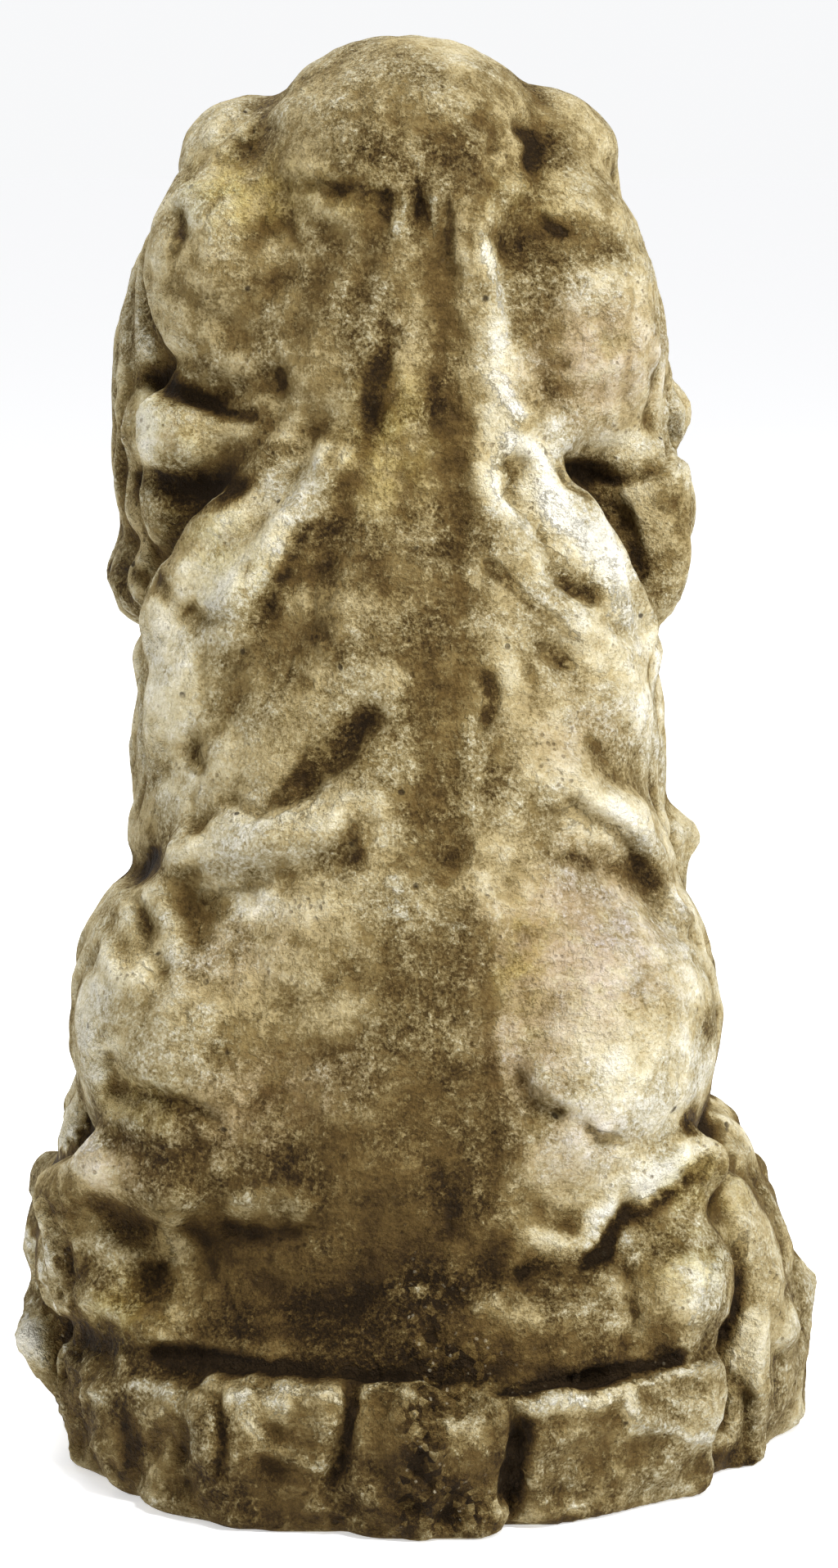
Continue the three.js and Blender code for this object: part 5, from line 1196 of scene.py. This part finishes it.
def box_mean(grid, radius):
    """Each node's mean over a cube about it."""
    width = 2 * radius + 1
    for axis in range(3):
        padded = np.concatenate([
            np.zeros_like(np.take(grid, [0], axis)),
            np.cumsum(np.pad(grid, [(radius, radius) if k == axis else (0, 0) for k in range(3)]), axis=axis),
        ], axis=axis)
        high = np.take(padded, range(width, padded.shape[axis]), axis)
        low = np.take(padded, range(0, padded.shape[axis] - width), axis)
        grid = (high - low) / width
    return grid


def hollows(field, points):
    """How far each vertex lies in a hollow, looked at three sizes: above 0 in one, below 0 on a ridge."""
    inside = (field < 0).astype(np.float32)
    looks = []
    for radius in (2, 5, 10):
        blurred = box_mean(box_mean(inside, radius), max(radius // 2, 1))
        looks.append(between(blurred, points) * 2 - 1)
    return looks


def tones(points, normals, sketch, looks, fine, stone, crumb):
    """Tone from black stain at 0 to cream at 1, with painted shade in the hollows and gaps, and the two tints,
    for each vertex.
    """
    narrow, middle, wide = looks
    height = points[:, 2]
    # All round: paler above, stained low down, and a little paler on faces that look up than on faces that look
    # down
    tone = 0.32 + 0.24 * ramp(height, 60, 150) + 0.02 * normals[:, 2]
    tone += 0.10 * layered(points, 34, 61, 3)
    tone += 0.10 * stone
    ragged = 1.1 * layered(points, 12, 95, 4)

    def laid_on(share, target, strength):
        """The tone once a wash with torn edges has been laid on it."""
        return tone + (target - tone) * strength * np.clip(share + 4 * share * (1 - share) * ragged, 0, 1)

    for u, v, across, down, tilt, target, strength in WASHES:
        tone = laid_on(sketch.spot(u, v, across, down, tilt, STAIN_SHAKE), target, strength)
    for places, width, target, strength in STREAKS:
        share = np.exp(-(sketch.from_path(places, STAIN_SHAKE) / width) ** 3) * sketch.open
        tone = laid_on(share, target, strength)
    tone += 0.07 * layered(points, 17, 71, 3) + 0.05 * layered(points, 6, 72, 2)
    # Stain lies in hollows, and ridges are worn pale; the darkening by how enclosed each place is stands partly
    # for that stain and partly for painted shade, most of all in the broad hollows
    patchy = 1 + 0.7 * layered(points, 12, 91, 3)
    tone -= patchy * (0.62 * np.clip(narrow, -0.16, 0.4) + 0.4 * np.clip(middle, -0.2, 0.4))
    tone -= 0.2 * np.clip(wide - 0.1, 0, 0.5)
    tone += 0.11 * patchy * np.clip(fine, -1.4, 1.2)
    tone -= 0.10 * crumb
    olive = np.clip(0.25 * layered(points, 40, 81, 2), 0, 1)
    lavender = np.zeros(len(points))
    for spots, tint in ((OLIVE, olive), (LAVENDER, lavender)):
        for u, v, across, down, tilt, strength in spots:
            tint += strength * sketch.spot(u, v, across, down, tilt, STAIN_SHAKE)
    return np.clip(tone, 0, 1.1), np.clip(olive, 0, 1), np.clip(lavender, 0, 1)


def marks(points, sketch):
    """Above 0 in a crisp dent, below 0 on a raised scab; the shader's edge lies near one half."""
    mark = np.zeros(len(points))
    uneven = np.clip(0.95 + 1.1 * layered(points, 11, 98, 3), 0.2, 1.5)
    for places, width, strength in MARKS:
        share = np.exp(-0.7 * (sketch.from_path(places, MARK_SHAKE) / width) ** 2) * sketch.open
        mark += strength * share * uneven * (1 - 0.5 * np.abs(mark))
    return np.clip(mark, -1, 1)


def share_of_stone(points, sketch):
    """1 on the rubble and in rough places, 0 on the coat."""
    seat = BASE_HEIGHT + 3 * layered(points, 20, 5, 2)
    around = np.hypot(points[:, 0] / (BASE_WIDTH / 2), points[:, 1] / (BASE_DEPTH / 2))
    stone = 1 - ramp(points[:, 2] - seat, -6, 4)
    stone = np.maximum(stone, ramp(around, 0.9, 0.95) * (1 - ramp(points[:, 2] - seat, 6, 16)))
    for u, v, across, down in ROUGH:
        stone = np.maximum(stone, sketch.spot(u, v, across, down, 0, ROUGH_SHAKE))
    return stone


def statue_piece(points, faces, painted):
    mesh = bpy.data.meshes.new("statue")
    mesh.from_pydata((points * MM).tolist(), [], faces.tolist())
    for name, values in painted.items():
        mesh.attributes.new(name, "FLOAT", "POINT").data.foreach_set("value", values.astype(np.float32))
    mesh.shade_smooth()
    piece = bpy.data.objects.new("statue", mesh)
    bpy.context.collection.objects.link(piece)
    piece.data.materials.append(concrete())
    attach(piece, "root")
    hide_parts("dog_statue")


def build_statue():
    field = carve(filled(body_field()))
    fill_touching(field)
    points, faces = skin(field)
    edges = edges_of(faces)
    points = smoothed(points, edges, 1, 0.4)
    # The CAD stands over the middle of its own bounds
    middle = (points.min(0) + points.max(0)) / 2
    settle = np.array([-middle[0], -middle[1], 0])
    normals = normals_of(points, faces)
    looks = hollows(field, points)
    placed = points + settle
    sketch = Sketch(placed, normals)
    stone = share_of_stone(placed, sketch)
    lift, crumb = relief(placed, sketch, stone)
    fine = lift - smoothed(lift, edges, 14)
    flat_foot = ramp(placed[:, 2], 0.5, 4)
    placed = placed + normals * (lift * flat_foot)[:, None]
    placed[:, 2] = np.maximum(placed[:, 2], 0)
    tone, olive, lavender = tones(placed, normals, sketch, looks, fine, stone, crumb)
    mark = marks(placed, sketch)
    painted = {"tone": tone, "mark": mark, "olive": olive, "lavender": lavender, "stone": stone, "crumb": crumb}
    statue_piece(placed, faces, painted)


# Materials

def linear(red, green, blue):
    """A colour as it is read off a chart, 0 to 255, turned into amounts of light."""
    parts = [c / 255 for c in (red, green, blue)]
    return tuple(c / 12.92 if c <= 0.04045 else ((c + 0.055) / 1.055) ** 2.4 for c in parts) + (1,)


class Mixer:
    """Short names for the nodes of one material. Sizes are in millimetres."""

    def __init__(self, name):
        self.material = bpy.data.materials.new(name)
        self.material.use_nodes = True
        self.tree = self.material.node_tree
        self.shader = self.tree.nodes["Principled BSDF"]
        self.place = self.tree.nodes.new("ShaderNodeTexCoord").outputs["Object"]

    def put(self, socket, value):
        if isinstance(value, bpy.types.NodeSocket):
            self.tree.links.new(value, socket)
        else:
            socket.default_value = value

    def attribute(self, name):
        node = self.tree.nodes.new("ShaderNodeAttribute")
        node.attribute_name = name
        return node.outputs["Fac"]

    def combine(self, operation, *values):
        node = self.tree.nodes.new("ShaderNodeMath")
        node.operation = operation
        for socket, value in zip(node.inputs, values):
            self.put(socket, value)
        return node.outputs[0]

    def times(self, a, *others):
        for b in others:
            a = self.combine("MULTIPLY", a, b)
        return a

    def plus(self, a, *others):
        for b in others:
            a = self.combine("ADD", a, b)
        return a

    def rise(self, value, low, high):
        """From 0 at low to 1 at high, smoothly."""
        node = self.tree.nodes.new("ShaderNodeMapRange")
        node.interpolation_type = "SMOOTHSTEP"
        self.put(node.inputs["Value"], value)
        node.inputs["From Min"].default_value = low
        node.inputs["From Max"].default_value = high
        return node.outputs["Result"]

    def fall(self, value, low, high):
        """From 1 at low to 0 at high, smoothly."""
        return self.combine("SUBTRACT", 1, self.rise(value, low, high))

    def grain(self, size, detail=3, roughness=0.6, stretch=None):
        """Noise from about -0.5 to 0.5 with lumps of that size."""
        node = self.tree.nodes.new("ShaderNodeTexNoise")
        node.inputs["Scale"].default_value = 1 / (size * MM)
        node.inputs["Detail"].default_value = detail
        node.inputs["Roughness"].default_value = roughness
        place = self.place
        if stretch:
            mapping = self.tree.nodes.new("ShaderNodeMapping")
            mapping.inputs["Rotation"].default_value = [math.radians(a) for a in stretch[0]]
            mapping.inputs["Scale"].default_value = stretch[1]
            self.put(mapping.inputs["Vector"], place)
            place = mapping.outputs[0]
        self.put(node.inputs["Vector"], place)
        return self.combine("SUBTRACT", node.outputs["Fac"], 0.5)

    def cells(self, size):
        """How far it is to the nearest of many scattered points, in cell sizes."""
        node = self.tree.nodes.new("ShaderNodeTexVoronoi")
        node.inputs["Scale"].default_value = 1 / (size * MM)
        bend = self.tree.nodes.new("ShaderNodeVectorMath")
        bend.operation = "ADD"
        wobble = self.tree.nodes.new("ShaderNodeTexNoise")
        wobble.inputs["Scale"].default_value = 0.5 / (size * MM)
        self.put(wobble.inputs["Vector"], self.place)
        shift = self.tree.nodes.new("ShaderNodeVectorMath")
        shift.operation = "SCALE"
        shift.inputs["Scale"].default_value = size * MM
        self.put(shift.inputs[0], wobble.outputs["Color"])
        self.put(bend.inputs[0], self.place)
        self.put(bend.inputs[1], shift.outputs[0])
        self.put(node.inputs["Vector"], bend.outputs[0])
        return node.outputs["Distance"]

    def grains(self, size):
        """Grains of that size, each of one random value from -0.5 to 0.5."""
        node = self.tree.nodes.new("ShaderNodeTexVoronoi")
        node.inputs["Scale"].default_value = 1 / (size * MM)
        self.put(node.inputs["Vector"], self.place)
        split = self.tree.nodes.new("ShaderNodeSeparateColor")
        self.put(split.inputs[0], node.outputs["Color"])
        return self.combine("SUBTRACT", split.outputs[0], 0.5)

    def ramp(self, value, stops):
        node = self.tree.nodes.new("ShaderNodeValToRGB")
        while len(node.color_ramp.elements) < len(stops):
            node.color_ramp.elements.new(1)
        for element, (place, colour) in zip(node.color_ramp.elements, stops):
            element.position = place
            element.color = linear(*colour)
        self.put(node.inputs["Fac"], value)
        return node.outputs["Color"]

    def mix(self, share, a, b, kind="MIX"):
        node = self.tree.nodes.new("ShaderNodeMix")
        node.data_type = "RGBA"
        node.blend_type = kind
        self.put(node.inputs[0], share)
        self.put(node.inputs[6], a)
        self.put(node.inputs[7], b)
        return node.outputs[2]


def concrete():
    """Buff concrete: cream where it is worn, brown-black where stain lies and where shade is painted in, with
    olive and lavender blooms.
    """
    m = Mixer("weathered concrete")
    tone, mark, stone, crumb = [m.attribute(name) for name in ("tone", "mark", "stone", "crumb")]

    # The tone at a point: the painted one, broken up by blotches, wear, tooling and sand, and by painted shade
    # in its dents and creases
    blotch = m.grain(16, 5, 0.6)
    fleck = m.grain(3.4, 4, 0.68)
    sand = m.grain(0.8, 3, 0.7)
    comb = m.grain(7, 4, 0.66, ((0, 35, 0), (0.3, 1, 1.5)))
    wrinkle = m.grain(13, 3, 0.5)
    crease = m.fall(m.combine("ABSOLUTE", wrinkle), 0.0, 0.03)
    crease = m.times(crease, m.rise(m.plus(fleck, m.times(blotch, 2)), 0.02, 0.16))
    fold = m.combine("ABSOLUTE", m.grain(26, 3, 0.55, ((0, 25, 0), (1, 1, 0.6))))
    wrinkles = m.fall(fold, 0.0, 0.045)
    wrinkles = m.times(wrinkles, m.rise(m.grain(30, 2), -0.02, 0.1))
    crust = m.rise(m.plus(fleck, m.times(blotch, 0.6)), -0.03, 0.05)
    rough = m.combine("MAXIMUM", stone, m.times(crumb, 0.8))
    # Some patches are sandy, others smooth
    coarse = m.plus(0.35, m.times(m.rise(m.plus(m.grain(22, 3), m.times(fleck, 0.4)), -0.1, 0.14), 0.85))
    # Dents and scabs with crisp, ragged edges
    torn = m.plus(m.times(fleck, 1.7), m.times(sand, 1.1), m.times(m.grain(7, 4, 0.6), 1.1))
    dark = m.rise(m.plus(mark, torn), 0.4, 0.64)
    light = m.rise(m.plus(m.times(mark, -1), torn), 0.4, 0.64)
    # Stain and worn concrete meet along sharp, speckled edges
    dents = m.grain(6, 5, 0.64)
    worn = m.rise(m.plus(tone, m.times(blotch, 0.6), m.times(fleck, 0.8), m.times(sand, 0.5)), 0.42, 0.6)
    # The colour follows the noises that also shape the bump, darker where it sinks and paler where it rises:
    # partly the concrete's grain and wear, partly painted shade and painted highlight
    level = m.plus(
        m.times(tone, 0.86), m.times(worn, 0.13), -0.01,
        m.times(blotch, 0.2), m.times(dents, 0.2), m.times(fleck, coarse, 0.36), m.times(comb, 0.3),
        m.times(m.plus(m.times(sand, 4), m.grains(1.1)), coarse, 0.18), m.times(wrinkles, -0.1),
        m.times(dark, -0.15), m.times(light, 0.08),
        m.times(m.plus(fleck, m.grains(2.1)), crumb, 0.45), m.times(crease, rough, 0.15),
    )
    base = m.ramp(level, (
        (0.0, (38, 27, 12)), (0.14, (56, 41, 18)), (0.30, (90, 71, 37)), (0.48, (132, 114, 73)),
        (0.66, (169, 153, 112)), (0.82, (203, 193, 162)), (1.0, (235, 230, 213)),
    ))
    # Blooms: greenish yellow and pinkish grey, strongest in the middle tones
    olive_share = m.times(m.attribute("olive"), m.rise(m.plus(m.grain(6, 4), 0.5), 0.3, 0.62))
    lavender_share = m.times(m.attribute("lavender"), m.rise(m.plus(m.grain(8, 4, 0.7), 0.5), 0.28, 0.6))
    base = m.mix(m.times(olive_share, 0.75), base, m.mix(1, base, linear(240, 232, 176), "MULTIPLY"))
    base = m.mix(m.times(lavender_share, 0.8), base, m.mix(1, base, linear(236, 226, 240), "MULTIPLY"))
    # White grit in the crumbled places, partly painted glints
    grit_and_glints = m.fall(m.cells(2.4), 0.16, 0.28)
    grit_and_glints = m.times(grit_and_glints, m.rise(m.plus(fleck, 0.5), 0.5, 0.62), m.plus(m.times(crumb, 0.6), 0.03))
    base = m.mix(grit_and_glints, base, linear(184, 172, 144))
    # Bug holes with dark floors, and crowds of smaller pits
    hole = m.fall(m.cells(9), 0.06, 0.12)
    hole = m.times(hole, m.rise(m.plus(m.grain(20, 2), 0.5), 0.5, 0.6))
    pit = m.fall(m.cells(2.6), 0.1, 0.3)
    pit = m.times(pit, m.rise(m.plus(blotch, m.times(comb, 0.6)), 0.0, 0.14))
    base = m.mix(m.times(hole, 0.85), base, linear(48, 36, 20))
    base = m.mix(m.times(pit, 0.6), base, m.mix(1, base, linear(140, 125, 100), "MULTIPLY"))
    m.put(m.shader.inputs["Base Color"], base)

    # Damp-looking stain is a little glossier than worn concrete
    m.put(m.shader.inputs["Roughness"], m.plus(0.62, m.times(m.rise(level, 0.05, 0.5), 0.26)))
    m.shader.inputs["Specular IOR Level"].default_value = 0.08

    bump = m.tree.nodes.new("ShaderNodeBump")
    bump.inputs["Distance"].default_value = 2 * MM
    bump.inputs["Strength"].default_value = 1
    height = m.plus(
        m.times(dents, 2.4), m.times(fleck, coarse, 1.7), m.times(sand, coarse, 1.1),
        m.times(comb, 0.8), m.times(wrinkles, -0.5), m.times(dark, -0.8), m.times(light, 0.5),
        m.times(hole, -0.6), m.times(crust, 0.1), m.times(pit, -0.35), m.times(worn, 0.14),
        m.times(crease, rough, 0.25),
        m.times(m.grain(2.2, 3, 0.7), m.plus(stone, m.times(crumb, 1.6)), 1.3),
    )
    m.put(bump.inputs["Height"], height)
    m.put(m.shader.inputs["Normal"], bump.outputs[0])
    return m.material


def plain(name, colour, roughness):
    material = bpy.data.materials.new(name)
    material.use_nodes = True
    shader = material.node_tree.nodes["Principled BSDF"]
    shader.inputs["Base Color"].default_value = colour
    shader.inputs["Roughness"].default_value = roughness
    return material


# The studio

def shining(material, strength):
    shader = material.node_tree.nodes["Principled BSDF"]
    shader.inputs["Emission Color"].default_value = COOL_WHITE
    shader.inputs["Emission Strength"].default_value = strength
    return material


def floor():
    bpy.ops.mesh.primitive_circle_add(vertices=96, radius=ROOM, fill_type="NGON", location=(0, 0, 0))
    disc = bpy.context.object
    disc.name = "floor"
    disc.data.materials.append(shining(plain("pale floor", (0.85, 0.85, 0.855, 1), 0.9), FLOOR_GLOW))


def backdrop():
    """A white paper dome behind everything, which casts no light of its own."""
    bpy.ops.mesh.primitive_uv_sphere_add(segments=64, ring_count=32, radius=ROOM, location=(0, 0, 0))
    dome = bpy.context.object
    dome.name = "backdrop"
    dome.data.materials.append(shining(plain("white paper", (0, 0, 0, 1), 1), PAPER_GLOW))
    dome.visible_diffuse = False
    dome.visible_glossy = False
    dome.visible_shadow = False


def softbox(name, place, aim, size, power):
    """A large square light at a place in metres, turned to a point."""
    light = bpy.data.lights.new(name, "AREA")
    light.size = size
    light.energy = power
    lamp = bpy.data.objects.new(name, light)
    lamp.location = place
    lamp.rotation_euler = (Vector(aim) - Vector(place)).to_track_quat("-Z", "Y").to_euler()
    bpy.context.collection.objects.link(lamp)


def studio():
    floor()
    backdrop()
    softbox("overhead", (-0.5, 0.9, 1.8), (0, 0, 0.2), 0.5, 41)
    softbox("on the right", (-1.5, 0.8, 1.1), (0, 0, 0.2), 0.6, 18)
    softbox("over the front", (0.7, -1.3, 1.6), (0, 0, 0.2), 0.8, 28)
    world = bpy.data.worlds.new("white room")
    world.use_nodes = True
    background = world.node_tree.nodes["Background"]
    background.inputs["Color"].default_value = COOL_WHITE
    background.inputs["Strength"].default_value = ROOM_GLOW
    bpy.context.scene.world = world
    bpy.context.scene.view_settings.view_transform = "Standard"


def camera():
    eye = bpy.data.cameras.new("camera")
    eye.sensor_width = SENSOR
    eye.lens = FOCAL / SKETCH[1] * SENSOR
    holder = bpy.data.objects.new("camera", eye)
    holder.location = STAND * MM
    holder.rotation_euler = (math.pi / 2 - PITCH, 0, math.pi)
    bpy.context.collection.objects.link(holder)
    bpy.context.scene.camera = holder


build_statue()
studio()
camera()
